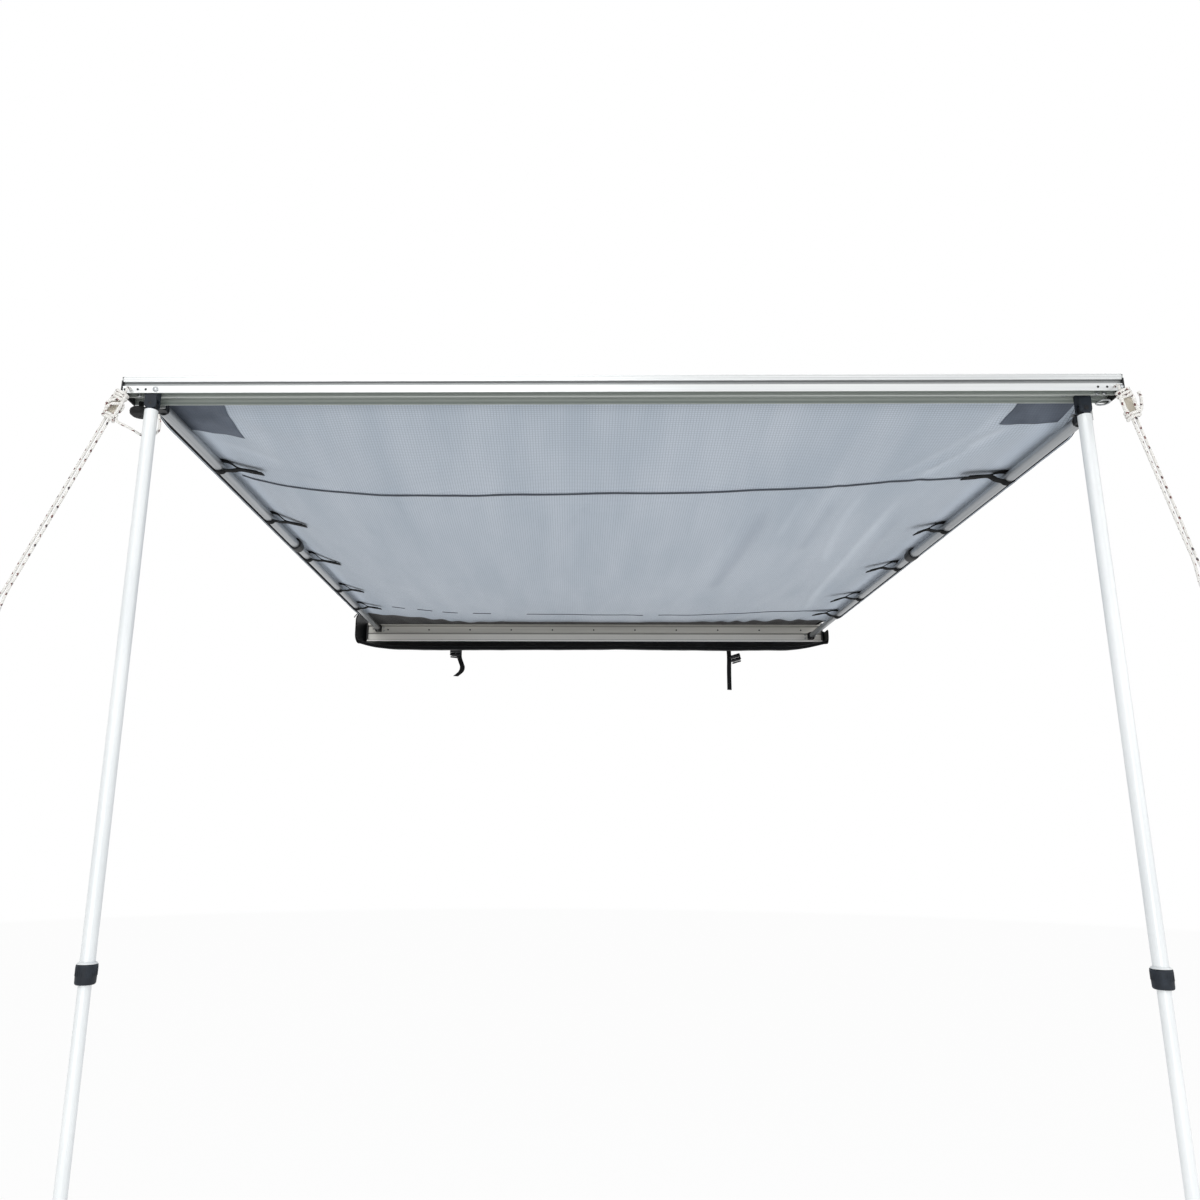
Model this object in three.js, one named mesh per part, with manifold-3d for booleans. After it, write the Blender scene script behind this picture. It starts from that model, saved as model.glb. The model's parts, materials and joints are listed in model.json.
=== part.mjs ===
// A pull-out side awning for a car roof: a backing channel that bolts to the roof bars, a front rail
// drawn out from it on two telescopic arms, two folding telescopic legs, a cloth canopy and its bag.
// Millimetres. X runs along the car, Y points to the car and Z up. The origin is the middle of the
// channel's flat back face, which lies in the plane y = 0. Set up as in use: arms out, legs down.
import * as THREE from "three";
import { mergeVertices } from "three/addons/utils/BufferGeometryUtils.js";
import Module from "manifold-3d";

// Overall sizes
const awningWidth = 2000; // along the car, over the end caps of channel and front rail
const extension = 2400; // from the channel's back to the front rail's front face
const standingHeight = 1760; // from the ground to the channel's middle

// Clearances and the overrun of cuts
const seatGap = 0.3; // between pieces that touch
const runningGap = 0.5; // around pins and along sliding tubes
const cutOverrun = 3;
const weldTolerance = 0.001;

// Tubes and how finely round things are cut
const roundSides = 24;
const smallSides = 16;
const filletSides = 5;
const nutSides = 6;

// Extruded channel on the car side
const channelHeight = 84;
const channelWall = 2.6;
const slotSpacing = 38; // between the two T-slots in the back
const slotMouth = 8.5;
const slotCavity = 17;
const slotCavityDepth = 6;
const slotLip = 2.2;
const bayFloorWall = 2;
const ridgeReach = 14;
const ridgeThickness = 3;
const lowerLipReach = 30;
const lowerLipHeight = 6;
const endCapThickness = 3;
const endCapLap = 1.5; // how far an end cap stands past the extrusion's outline

// Canopy and its edge beads
const canopyThickness = 1.5;
const canopySideInset = 15; // canopy edge to the end of the rail
const canopySag = 140; // lowest place below the line from bead to bead
const canopySagPower = 1.33; // of the run from the channel; above 1, the cloth hangs lowest nearer the rail
const canopyAcrossPower = 2.6; // of the sag from the middle to the arms
const canopyEdgePower = 7; // keeps the arms' difference in height to the cloth's sides
const canopyRearEaseShare = 0.17; // of the run, in which the sides come down from the bead to the arms
const canopyFrontEaseShare = 0.06;
const canopyTiltShare = 0.01; // of the run, to either side, for the cloth's slope
const drapeClearance = 0.85; // between the cloth and an arm's collar
const drapeShoulder = 8; // the cloth lies on an arm this far to each side of its axis
const drapeShoulderDrop = 1.7;
const hemRise = 7; // middle of the hem above the arm's axis
const canopyColumnShares = [0, 0.22, 0.42, 0.6, 0.74, 0.85, 0.93]; // of the sag's reach from the middle
const canopyRunShares = [
  0, 0.03, 0.07, 0.12, 0.17, 0.25, 0.34, 0.43, 0.52, 0.61, 0.7, 0.78, 0.85, 0.9, 0.94, 0.97, 1,
];
const beadDiameter = 7;
const beadHousingWall = 2;
const beadSlit = 2.6;
const beadSteps = 10;

// Front rail, drawn as depth behind its front face and height above its lower lip
const railHeight = 36;
const railDepth = 60;
const railWall = 2.5;
const railLift = 12; // lower lip above the channel's middle
const frontLipHeight = 15;
const grooveDepth = 5;
const grooveHeight = 9;
const grooveBevel = 2;
const railRidgeThickness = 3;
const railRidgeRise = 4; // underside of the middle ridge above the lower lip
const bayCeiling = 12.5; // underside of the bays above the lower lip
const capCorner = 4; // cut off an end cap's front corners
const guyHoleInset = 16; // hole to the end of the extrusion

// Arms
const armInset = 50; // arm axis to the end of the awning
const armSpacing = 31; // height between the left and the right arm
const armPivotReach = 34; // hinge axis in front of the channel's back
const innerTubeDiameter = 22;
const innerTubeWall = 1.5;
const outerTubeDiameter = 25;
const armCollarDiameter = 36;
const armCollarLength = 44;
const armCollarReach = 1310; // collar's middle to the channel's back
const armOverlap = 140; // inner tube inside the outer one, fully out
const armTubeStart = 14; // tube's end to the hinge axis

// Arm hinge in the channel
const hingeEarRadius = 12;
const hingeEarThickness = 3.5;
const hingeBaseThickness = 4;
const hingePlay = 0.3; // between ears and knuckle
const armPinDiameter = 8;
const armPinHeadDiameter = 12;
const armPinHeadHeight = 1.2;
const knuckleRadius = 11;
const plugLength = 45;
const neckInset = 1.5; // a knuckle's neck inside its round eye
const collarChamfer = 2;
const collarStep = 1.5;
const collarWaist = 6; // a collar's step from its middle

// Arm tips and the hooked tabs on the rail that carry them
const tipKnuckleRadius = 12;
const tipKnuckleHeight = 18;
const tipTubeStart = 15; // tube's end to the tip's pivot axis
const tipPlugLength = 45;
const tabThickness = 3;
const tabWidth = 30;
const tabEarThickness = 3;
const tabTopDrop = 14; // tab's top edge below the rail's top
const tipPinDiameter = 8;
const tipPinHeadDiameter = 13;
const tipPinHeadHeight = 1.5;

// Legs
const legInset = 60; // leg axis to the end of the awning
const legSpacing = 33; // depth between the left and the right leg
const legTubeDiameter = 26;
const legTubeWall = 1.4;
const lowerTubeDiameter = 22.4;
const lowerTubeWall = 1.4;
const legCollarDiameter = 38;
const legCollarLength = 40;
const legCollarDrop = 1075; // collar's middle below the leg pivot
const legOverlap = 620; // lower tube inside the upper one, as set up
const legTubeStart = 12.5; // tube's end to the pivot axis
const legRailGap = 1.5; // folded collar to the rail's lower lip
const bracketWidth = 24;
const bracketDepth = 21.4;
const bracketSlot = 11.6;
const tongueThickness = 11;
const tongueRadius = 10;
const legPinDiameter = 6;
const legPinHeadDiameter = 9;
const legPinHeadHeight = 0.8;
const legPlugLength = 40;
const footDiameter = 32;
const footHeight = 40;
const footSole = 6;
const footNeckDiameter = 27;

// Roof brackets and their bolts
const bracketPairSpacing = 700;
const roofBracketWidth = 60;
const roofBracketThickness = 5;
const roofFootReach = 90;
const roofBracketDrop = 0; // foot's top below the channel's lower edge
const boltDiameter = 8;
const boltHoleDiameter = 9;
const boltHeadWidth = 13;
const boltHeadThickness = 5;
const nutDiameter = 13;
const nutHeight = 6.5;
const footHoleDiameter = 9;
const footHoleSpacing = 30;
const footHoleReach = 60;

// Storage bag below the channel
const bagThickness = 2.5;
const bagDepth = 122;
const bagDroop = 50;
const bagDroopTaper = 190; // over which the droop runs out towards each end
const bagPanelRise = 52; // end panel above the channel's middle
const bagPanelDrop = 62; // end panel below it
const bagPanelLean = 26; // how far the panel's front leans outwards
const bagCornerRadius = 34;
const bagBackTuck = 24; // bag's sheet under the channel
const bagEndPull = 22; // how much shallower the sheet is at its ends
const bagEndDroopShare = 0.3;
const bagCurlShare = 0.62; // of half a wave, from the channel to the sheet's front edge
const bagEndCrowding = 1.6; // power that sets the sheet's columns closer at its ends
const bagColumns = 20;
const bagRows = 6;
const bagStrapX = 590;
const bagStrapWidth = 25;
const bagStrapThickness = 2;
const bagStrapLengthLeft = 150;
const bagStrapLengthRight = 208;
const bagStrapReach = 15; // in front of the channel's back, under the flat of the bag's sheet
const bagBuckleDrop = 26; // buckle's top below the webbing's top
const bagBuckleWidth = 46;
const bagBuckleHeight = 38;
const bagBuckleThickness = 9;

// Hook-and-loop straps that tie the canopy to the arms
const strapWidth = 25;
const strapThickness = 2;
const strapClearance = 0.6;
const innerStrapShares = [0.35, 0.589, 0.924]; // of the run from the channel to the arm's collar
const outerStrapShares = [0.24, 0.638]; // of the run from the collar to the rail

// Guy ropes
const ropeDiameter = 5;
const ropeSides = 6;
const ropeSteps = 84;
const ropeTail = 6; // behind the lip's front face
const ropeStandOff = 16; // the hanging strands in front of the rail
const ropeBendRadius = 10;
const ropeBendSteps = 3;
const ropeLead = 20; // straight run below the slider
const ropeLoopRadius = 10;
const ropeLoopSteps = 4;
const ropeOutLeft = 205; // far loop outside the hole
const ropeDropLeft = 470; // far loop below the hole
const ropeOutRight = 105;
const ropeDropRight = 410;
const sliderStart = 24; // from the hole, along the rope
const sliderLength = 46;
const sliderWidth = 17;
const sliderThickness = 9;
const strandOffset = 4.2; // each strand from the slider's middle line

// Worked out from the sizes above
const halfWidth = awningWidth / 2;
const extrusionEnd = halfWidth - endCapThickness - seatGap;
const railFront = -extension;
const railBack = railFront + railDepth;
const beadBore = beadDiameter + 2 * seatGap;
const housingSize = beadBore + 2 * beadHousingWall;
const bayFloor = -(slotLip + slotCavityDepth + bayFloorWall);
const channelBeadY = bayFloor - housingSize / 2;
const channelBeadZ = channelHeight / 2 - housingSize / 2;
const railBeadY = railBack - housingSize / 2;
const railBeadZ = railLift + railHeight - housingSize / 2;
const canopyStart = bayFloor - housingSize; // where the cloth leaves the channel
const canopyHalfWidth = extrusionEnd - canopySideInset;
const outerTubeRadius = outerTubeDiameter / 2;
const outerTubeBore = innerTubeDiameter / 2 + seatGap;
const hingeHalfHeight = armSpacing / 2 - ridgeThickness / 2 - seatGap;
const knuckleHalfHeight = hingeHalfHeight - hingeEarThickness - hingePlay;
const tabFace = railBack + seatGap + tabThickness;
const tipPivotY = tabFace + seatGap + tipKnuckleRadius;
const legPivotZ = railLift - legCollarDiameter / 2 - legRailGap;
const legCollarZ = legPivotZ - legCollarDrop;
const groundZ = -standingHeight;

const wasm = await Module();
wasm.setup();

// Shared vertices are merged and triangles with no area dropped; faces are turned to point out
function welded(geometry) {
  const bare = geometry.clone();
  bare.deleteAttribute("normal");
  bare.deleteAttribute("uv");
  const merged = mergeVertices(bare, weldTolerance);
  const index = [];
  for (let i = 0; i < merged.index.count; i += 3) {
    const [a, b, c] = [0, 1, 2].map((k) => merged.index.getX(i + k));
    if (a !== b && b !== c && c !== a) index.push(a, b, c);
  }
  merged.setIndex(index);
  if (signedVolume(merged) < 0) merged.setIndex(flipped(index));
  return merged;
}

function flipped(index) {
  const turned = [];
  for (let i = 0; i < index.length; i += 3) turned.push(index[i], index[i + 2], index[i + 1]);
  return turned;
}

function signedVolume(geometry) {
  const corner = [0, 1, 2].map(() => new THREE.Vector3());
  let sum = 0;
  for (let i = 0; i < geometry.index.count; i += 3) {
    corner.forEach((p, k) => p.fromBufferAttribute(geometry.attributes.position, geometry.index.getX(i + k)));
    sum += corner[0].dot(corner[1].clone().cross(corner[2]));
  }
  return sum;
}

function solid(geometry) {
  const { attributes, index } = welded(geometry);
  return new wasm.Manifold(new wasm.Mesh({
    numProp: 3,
    vertProperties: new Float32Array(attributes.position.array),
    triVerts: new Uint32Array(index.array),
  }));
}

function fromSolid(shape) {
  const mesh = shape.getMesh();
  const geometry = new THREE.BufferGeometry();
  geometry.setAttribute("position", new THREE.BufferAttribute(new Float32Array(mesh.vertProperties), 3));
  geometry.setIndex(new THREE.BufferAttribute(new Uint32Array(mesh.triVerts), 1));
  return geometry;
}

function join(first, ...rest) {
  return fromSolid(rest.reduce((sum, piece) => sum.add(solid(piece)), solid(first)));
}

function cut(base, ...tools) {
  return fromSolid(tools.reduce((left, tool) => left.subtract(solid(tool)), solid(base)));
}

// Outlines and prisms. An outline is a list of [across, up] points.
function outlineShape(points, holes = []) {
  const shape = new THREE.Shape(points.map(([a, b]) => new THREE.Vector2(a, b)));
  shape.holes = holes.map((hole) => new THREE.Path(hole.map(([a, b]) => new THREE.Vector2(a, b))));
  return shape;
}

function prism(points, length, holes) {
  return new THREE.ExtrudeGeometry(outlineShape(points, holes), { depth: length, bevelEnabled: false });
}

function turnedBy(geometry, xAxis, yAxis, zAxis, x, y, z) {
  const matrix = new THREE.Matrix4().makeBasis(xAxis, yAxis, zAxis).setPosition(x, y, z);
  return geometry.applyMatrix4(matrix);
}

const alongX = new THREE.Vector3(1, 0, 0);
const alongY = new THREE.Vector3(0, 1, 0);
const alongZ = new THREE.Vector3(0, 0, 1);

// [y, z] outline from one x to another
function prismX(points, low, high, holes) {
  return turnedBy(prism(points, high - low, holes), alongY, alongZ, alongX, low, 0, 0);
}

// [x, z] outline from one y to another
function prismY(points, low, high, holes) {
  const back = alongY.clone().negate();
  return turnedBy(prism(points, high - low, holes), alongX, alongZ, back, 0, high, 0);
}

// [x, y] outline from one z to another
function prismZ(points, low, high, holes) {
  return prism(points, high - low, holes).translate(0, 0, low);
}

function block(xLow, xHigh, yLow, yHigh, zLow, zHigh) {
  const box = new THREE.BoxGeometry(xHigh - xLow, yHigh - yLow, zHigh - zLow);
  return box.translate((xLow + xHigh) / 2, (yLow + yHigh) / 2, (zLow + zHigh) / 2);
}

// A profile of [radius, height] points turned about an upright axis through x, y
function turnedZ(profile, x, y, z, sides = roundSides) {
  const points = profile.map(([r, h]) => new THREE.Vector2(r, h));
  return new THREE.LatheGeometry(points, sides).rotateX(Math.PI / 2).translate(x, y, z);
}

// The same about an axis along Y; heights run towards the car
function turnedY(profile, x, y, z, sides = roundSides) {
  const points = profile.map(([r, h]) => new THREE.Vector2(r, h));
  return new THREE.LatheGeometry(points, sides).translate(x, y, z);
}

function turnedX(profile, x, y, z, sides = roundSides) {
  const points = profile.map(([r, h]) => new THREE.Vector2(r, h));
  return new THREE.LatheGeometry(points, sides).rotateZ(-Math.PI / 2).translate(x, y, z);
}

const rodProfile = (radius, low, high) => [[0, low], [radius, low], [radius, high], [0, high]];
const tubeProfile = (inner, outer, low, high) => [
  [inner, low], [outer, low], [outer, high], [inner, high], [inner, low],
];

function arc(x, y, radius, from, to, steps) {
  return Array.from({ length: steps + 1 }, (_, i) => {
    const angle = from + ((to - from) * i) / steps;
    return [x + radius * Math.cos(angle), y + radius * Math.sin(angle)];
  });
}

// A closed sheet of even thickness over a grid of middle points
function sheet(columns, rows, place, thickness) {
  const vertices = [];
  const index = [];
  const at = (i, j, side) => (side * (rows + 1) + j) * (columns + 1) + i;
  const middle = (i, j) => {
    const column = Math.min(Math.max(i, 0), columns);
    const row = Math.min(Math.max(j, 0), rows);
    return new THREE.Vector3(...place(column / columns, row / rows));
  };
  for (const side of [0, 1]) {
    for (let j = 0; j <= rows; j++) {
      for (let i = 0; i <= columns; i++) {
        const across = middle(i + 1, j).sub(middle(i - 1, j));
        const along = middle(i, j + 1).sub(middle(i, j - 1));
        const normal = across.cross(along).normalize();
        const point = middle(i, j).addScaledVector(normal, (side - 1 / 2) * thickness);
        vertices.push(point.x, point.y, point.z);
      }
    }
  }
  const quad = (a, b, c, d) => index.push(a, b, c, a, c, d);
  for (let j = 0; j < rows; j++) {
    for (let i = 0; i < columns; i++) {
      quad(at(i, j, 1), at(i + 1, j, 1), at(i + 1, j + 1, 1), at(i, j + 1, 1));
      quad(at(i, j, 0), at(i, j + 1, 0), at(i + 1, j + 1, 0), at(i + 1, j, 0));
    }
    quad(at(0, j, 0), at(0, j, 1), at(0, j + 1, 1), at(0, j + 1, 0));
    quad(at(columns, j, 0), at(columns, j + 1, 0), at(columns, j + 1, 1), at(columns, j, 1));
  }
  for (let i = 0; i < columns; i++) {
    quad(at(i, 0, 0), at(i + 1, 0, 0), at(i + 1, 0, 1), at(i, 0, 1));
    quad(at(i, rows, 0), at(i, rows, 1), at(i + 1, rows, 1), at(i + 1, rows, 0));
  }
  const geometry = new THREE.BufferGeometry();
  geometry.setAttribute("position", new THREE.BufferAttribute(new Float32Array(vertices), 3));
  geometry.setIndex(index);
  return geometry;
}

// A closed body through one [y, z] outline at each place along X. An outline starts at one tip of its
// section, and its points lie opposite each other in pairs from there to the other tip. Opposite cells
// are split along the same diagonal, so that the two faces of a thin body stay parallel.
function loft(places, section) {
  const rings = places.map(section);
  const count = rings[0].length;
  const vertices = rings.flatMap((ring, i) => ring.flatMap(([y, z]) => [places[i], y, z]));
  const index = [];
  for (let i = 0; i < rings.length - 1; i++) {
    for (let k = 0; k < count; k++) {
      const [a, b] = [i * count + k, i * count + ((k + 1) % count)];
      if (k < count / 2) index.push(a, b, b + count, a, b + count, a + count);
      else index.push(a, b, a + count, b, b + count, a + count);
    }
  }
  const last = (rings.length - 1) * count;
  for (let k = 0; k < count / 2; k++) {
    const [a, b, c, d] = [k, k + 1, count - k - 1, (count - k) % count];
    if (b !== c) index.push(last + a, last + b, last + c, a, c, b);
    if (a !== d) index.push(last + a, last + c, last + d, a, d, c);
  }
  const geometry = new THREE.BufferGeometry();
  geometry.setAttribute("position", new THREE.BufferAttribute(new Float32Array(vertices), 3));
  geometry.setIndex(index);
  return geometry;
}

// Backing channel
function channelOutline() {
  const top = channelHeight / 2;
  const housingFront = bayFloor - housingSize;
  const lipInside = -lowerLipReach + channelWall;
  return [
    [0, -top], [0, top], [housingFront, top], [housingFront, top - housingSize],
    [bayFloor, top - housingSize], [bayFloor, ridgeThickness / 2],
    [-ridgeReach, ridgeThickness / 2], [-ridgeReach, -ridgeThickness / 2],
    [bayFloor, -ridgeThickness / 2], [bayFloor, channelWall - top],
    [lipInside, channelWall - top], [lipInside, lowerLipHeight - top],
    [-lowerLipReach, lowerLipHeight - top], [-lowerLipReach, -top],
  ];
}

function backSlot(z) {
  const end = extrusionEnd + cutOverrun;
  const mouth = block(-end, end, -slotLip - cutOverrun, cutOverrun, z - slotMouth / 2, z + slotMouth / 2);
  const cavityBack = -slotLip - slotCavityDepth;
  const cavity = block(-end, end, cavityBack, -slotLip, z - slotCavity / 2, z + slotCavity / 2);
  return [mouth, cavity];
}

// The round groove that holds a canopy bead, open through a slit to the front (-1) or the back (1)
function beadGroove(y, z, side) {
  const end = extrusionEnd + cutOverrun;
  const bore = turnedX(rodProfile(beadBore / 2, -end, end), 0, y, z, smallSides);
  const mouth = y + side * (housingSize / 2 + cutOverrun);
  const slit = block(-end, end, Math.min(y, mouth), Math.max(y, mouth), z - beadSlit / 2, z + beadSlit / 2);
  return [bore, slit];
}

function backingChannel() {
  const bar = prismX(channelOutline(), -extrusionEnd, extrusionEnd);
  const slots = [...backSlot(slotSpacing / 2), ...backSlot(-slotSpacing / 2)];
  return cut(bar, ...slots, ...beadGroove(channelBeadY, channelBeadZ, -1));
}

function channelEndCap(side) {
  const top = channelHeight / 2;
  const front = -lowerLipReach - endCapLap;
  const topFront = bayFloor - housingSize - endCapLap;
  const outline = [[0, -top], [0, top], [topFront, top], [front, top - (topFront - front)], [front, -top]];
  const inner = side * (halfWidth - endCapThickness);
  return prismX(outline, Math.min(inner, side * halfWidth), Math.max(inner, side * halfWidth));
}

// Front rail
const railPoint = (back, up) => [railFront + back, railLift + up];

function railOutline() {
  const grooveTop = frontLipHeight + grooveHeight;
  const ridgeFront = (railDepth - railRidgeThickness) / 2;
  const ridgeBack = ridgeFront + railRidgeThickness;
  return [
    railPoint(0, 0), railPoint(0, frontLipHeight),
    railPoint(grooveDepth, frontLipHeight + grooveBevel), railPoint(grooveDepth, grooveTop - grooveBevel),
    railPoint(0, grooveTop), railPoint(0, railHeight),
    railPoint(railDepth, railHeight), railPoint(railDepth, 0),
    railPoint(railDepth - railWall, 0), railPoint(railDepth - railWall, bayCeiling),
    railPoint(ridgeBack, bayCeiling), railPoint(ridgeBack, railRidgeRise),
    railPoint(ridgeFront, railRidgeRise), railPoint(ridgeFront, bayCeiling),
    railPoint(railWall, bayCeiling), railPoint(railWall, 0),
  ];
}

// The hollow inside the rail, which follows its outer walls
function railHollow() {
  const floor = bayCeiling + railWall;
  const roof = railHeight - railWall;
  const behindGroove = grooveDepth + railWall;
  const bead = frontLipHeight + grooveHeight + railWall;
  const housingFront = railDepth - housingSize - railWall;
  const underHousing = railHeight - housingSize - railWall;
  return [
    railPoint(behindGroove, floor), railPoint(railDepth - railWall, floor),
    railPoint(railDepth - railWall, underHousing), railPoint(housingFront, underHousing),
    railPoint(housingFront, roof), railPoint(railWall, roof),
    railPoint(railWall, bead), railPoint(behindGroove, bead),
  ];
}

const guyHoleX = extrusionEnd - guyHoleInset;
const guyHoleZ = railLift + frontLipHeight / 2;

function frontRail() {
  const bar = prismX(railOutline(), -extrusionEnd, extrusionEnd, [railHollow()]);
  const radius = ropeDiameter / 2 + seatGap;
  const hole = rodProfile(radius, railFront - cutOverrun, railFront + railWall + cutOverrun);
  const holes = [-1, 1].map((side) => turnedY(hole, side * guyHoleX, 0, guyHoleZ, smallSides));
  return cut(bar, ...beadGroove(railBeadY, railBeadZ, 1), ...holes);
}

function railEndCap(side) {
  const lap = endCapLap;
  const outline = [
    railPoint(capCorner - lap, -lap), railPoint(-lap, capCorner - lap),
    railPoint(-lap, railHeight + lap - capCorner), railPoint(capCorner - lap, railHeight + lap),
    railPoint(railDepth, railHeight + lap), railPoint(railDepth, -lap),
  ];
  const inner = side * (halfWidth - endCapThickness);
  return prismX(outline, Math.min(inner, side * halfWidth), Math.max(inner, side * halfWidth));
}

// Roof brackets: an L with one bolt in each of the channel's T-slots
function roofBracket(side) {
  const x = (side * bracketPairSpacing) / 2;
  const half = roofBracketWidth / 2;
  const top = channelHeight / 2 - roofBracketThickness;
  const low = -channelHeight / 2 - roofBracketDrop;
  const face = seatGap;
  const outline = [
    [face, low - roofBracketThickness], [face, top], [face + roofBracketThickness, top],
    [face + roofBracketThickness, low], [roofFootReach, low], [roofFootReach, low - roofBracketThickness],
  ];
  const boltHole = rodProfile(boltHoleDiameter / 2, -cutOverrun, roofBracketThickness + cutOverrun);
  const boltHoles = [1, -1].map((k) => turnedY(boltHole, x, face, (k * slotSpacing) / 2, smallSides));
  const footLow = low - roofBracketThickness - cutOverrun;
  const footHole = rodProfile(footHoleDiameter / 2, footLow, low + cutOverrun);
  const footHoles = [1, -1].map(
    (k) => turnedZ(footHole, x + (k * footHoleSpacing) / 2, footHoleReach, 0, smallSides),
  );
  return cut(prismX(outline, x - half, x + half), ...boltHoles, ...footHoles);
}

function bracketBolt(side, level) {
  const x = (side * bracketPairSpacing) / 2;
  const z = (level * slotSpacing) / 2;
  const headFront = -slotLip - seatGap;
  const half = boltHeadWidth / 2;
  const head = block(x - half, x + half, headFront - boltHeadThickness, headFront, z - half, z + half);
  const nutFace = seatGap + roofBracketThickness + seatGap;
  const shankEnd = nutFace + nutHeight + roofBracketThickness / 2;
  const shankStart = headFront - boltHeadThickness / 2;
  const shank = turnedY(rodProfile(boltDiameter / 2, shankStart, shankEnd), x, 0, z, smallSides);
  const nut = turnedY(rodProfile(nutDiameter / 2, nutFace, nutFace + nutHeight), x, 0, z, nutSides);
  return join(head, shank, nut);
}

// Arms. Side -1 is the left arm, in the channel's upper bay; side 1 the right one, in the lower bay.
const armX = (side) => side * (halfWidth - armInset);
const armZ = (side) => (-side * armSpacing) / 2;

function armHinge(side) {
  const [x, z] = [armX(side), armZ(side)];
  const base = bayFloor - seatGap;
  const ear = [
    [x - hingeEarRadius, base], [x - hingeEarRadius, -armPivotReach],
    ...arc(x, -armPivotReach, hingeEarRadius, Math.PI, 2 * Math.PI, roundSides / 2).slice(1, -1),
    [x + hingeEarRadius, -armPivotReach], [x + hingeEarRadius, base],
  ];
  const body = prismZ(ear, z - hingeHalfHeight, z + hingeHalfHeight);
  const gapHalf = knuckleHalfHeight + hingePlay;
  const overX = hingeEarRadius + cutOverrun;
  const gap = block(
    x - overX, x + overX, -armPivotReach - overX, base - hingeBaseThickness, z - gapHalf, z + gapHalf,
  );
  const over = hingeHalfHeight + cutOverrun;
  const bore = rodProfile(armPinDiameter / 2 + seatGap, -over, over);
  const hole = turnedZ(bore, x, -armPivotReach, z, smallSides);
  return cut(body, gap, hole);
}

function armHingePin(side) {
  const radius = armPinDiameter / 2;
  const headLow = hingeHalfHeight + seatGap;
  const profile = [
    [0, -hingeHalfHeight], [radius, -hingeHalfHeight], [radius, headLow],
    [armPinHeadDiameter / 2, headLow], [armPinHeadDiameter / 2, headLow + armPinHeadHeight],
    [0, headLow + armPinHeadHeight],
  ];
  return turnedZ(profile, armX(side), -armPivotReach, armZ(side), smallSides);
}

// A round eye on an upright axis, with a neck and a plug that runs towards a tube along Y
function eyeAndPlug(x, y, z, eye) {
  const towards = eye.towards;
  const round = turnedZ(rodProfile(eye.radius, -eye.halfHeight, eye.halfHeight), x, y, z);
  const neckEnd = y + towards * (eye.tubeStart - seatGap);
  const neckHalf = eye.radius - neckInset;
  const neck = block(
    x - neckHalf, x + neckHalf, Math.min(y, neckEnd), Math.max(y, neckEnd),
    z - eye.halfHeight, z + eye.halfHeight,
  );
  const plugStart = neckEnd - towards * neckInset;
  const plugEnd = neckEnd + towards * eye.plugLength;
  const ends = [Math.min(plugStart, plugEnd), Math.max(plugStart, plugEnd)];
  const plug = turnedY(rodProfile(eye.plugRadius, ...ends), x, 0, z);
  return [round, neck, plug];
}

function armKnuckle(side) {
  const pieces = eyeAndPlug(armX(side), -armPivotReach, armZ(side), {
    radius: knuckleRadius,
    halfHeight: knuckleHalfHeight,
    tubeStart: armTubeStart,
    plugLength,
    plugRadius: innerTubeDiameter / 2 - innerTubeWall - seatGap,
    towards: -1,
  });
  const over = knuckleHalfHeight + cutOverrun;
  const hole = rodProfile(armPinDiameter / 2 + seatGap, -over, over);
  return cut(join(...pieces), turnedZ(hole, armX(side), -armPivotReach, armZ(side), smallSides));
}

function armInnerTube(side) {
  const radius = innerTubeDiameter / 2;
  const far = -armCollarReach - armOverlap;
  const near = -armPivotReach - armTubeStart;
  return turnedY(tubeProfile(radius - innerTubeWall, radius, far, near), armX(side), 0, armZ(side));
}

function armOuterTube(side) {
  const far = tipPivotY + tipTubeStart;
  const profile = tubeProfile(outerTubeBore, outerTubeRadius, far, -armCollarReach);
  return turnedY(profile, armX(side), 0, armZ(side));
}

function armCollar(side) {
  const end = armCollarLength / 2;
  const outer = armCollarDiameter / 2;
  const onInner = innerTubeDiameter / 2 + runningGap;
  const onOuter = outerTubeRadius + runningGap;
  const profile = [
    [onInner, end], [onInner, runningGap], [onOuter, runningGap], [onOuter, -end],
    [outer - collarChamfer, -end], [outer, -end + collarChamfer], [outer, collarWaist],
    [outer - collarStep, collarWaist], [outer - collarStep, end - collarStep], [outer - 2 * collarStep, end],
    [onInner, end],
  ];
  return turnedY(profile, armX(side), -armCollarReach, armZ(side));
}

function armTip(side) {
  const [x, z] = [armX(side), armZ(side)];
  const halfHeight = tipKnuckleHeight / 2;
  const pieces = eyeAndPlug(x, tipPivotY, z, {
    radius: tipKnuckleRadius,
    halfHeight,
    tubeStart: tipTubeStart,
    plugLength: tipPlugLength,
    plugRadius: outerTubeBore - seatGap,
    towards: 1,
  });
  const headLow = halfHeight + tabEarThickness + 2 * runningGap;
  const radius = tipPinDiameter / 2;
  const pin = turnedZ([
    [0, 0], [radius, 0], [radius, headLow], [tipPinHeadDiameter / 2, headLow],
    [tipPinHeadDiameter / 2, headLow + tipPinHeadHeight], [0, headLow + tipPinHeadHeight],
  ], x, tipPivotY, z, smallSides);
  return join(...pieces, pin);
}

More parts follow.
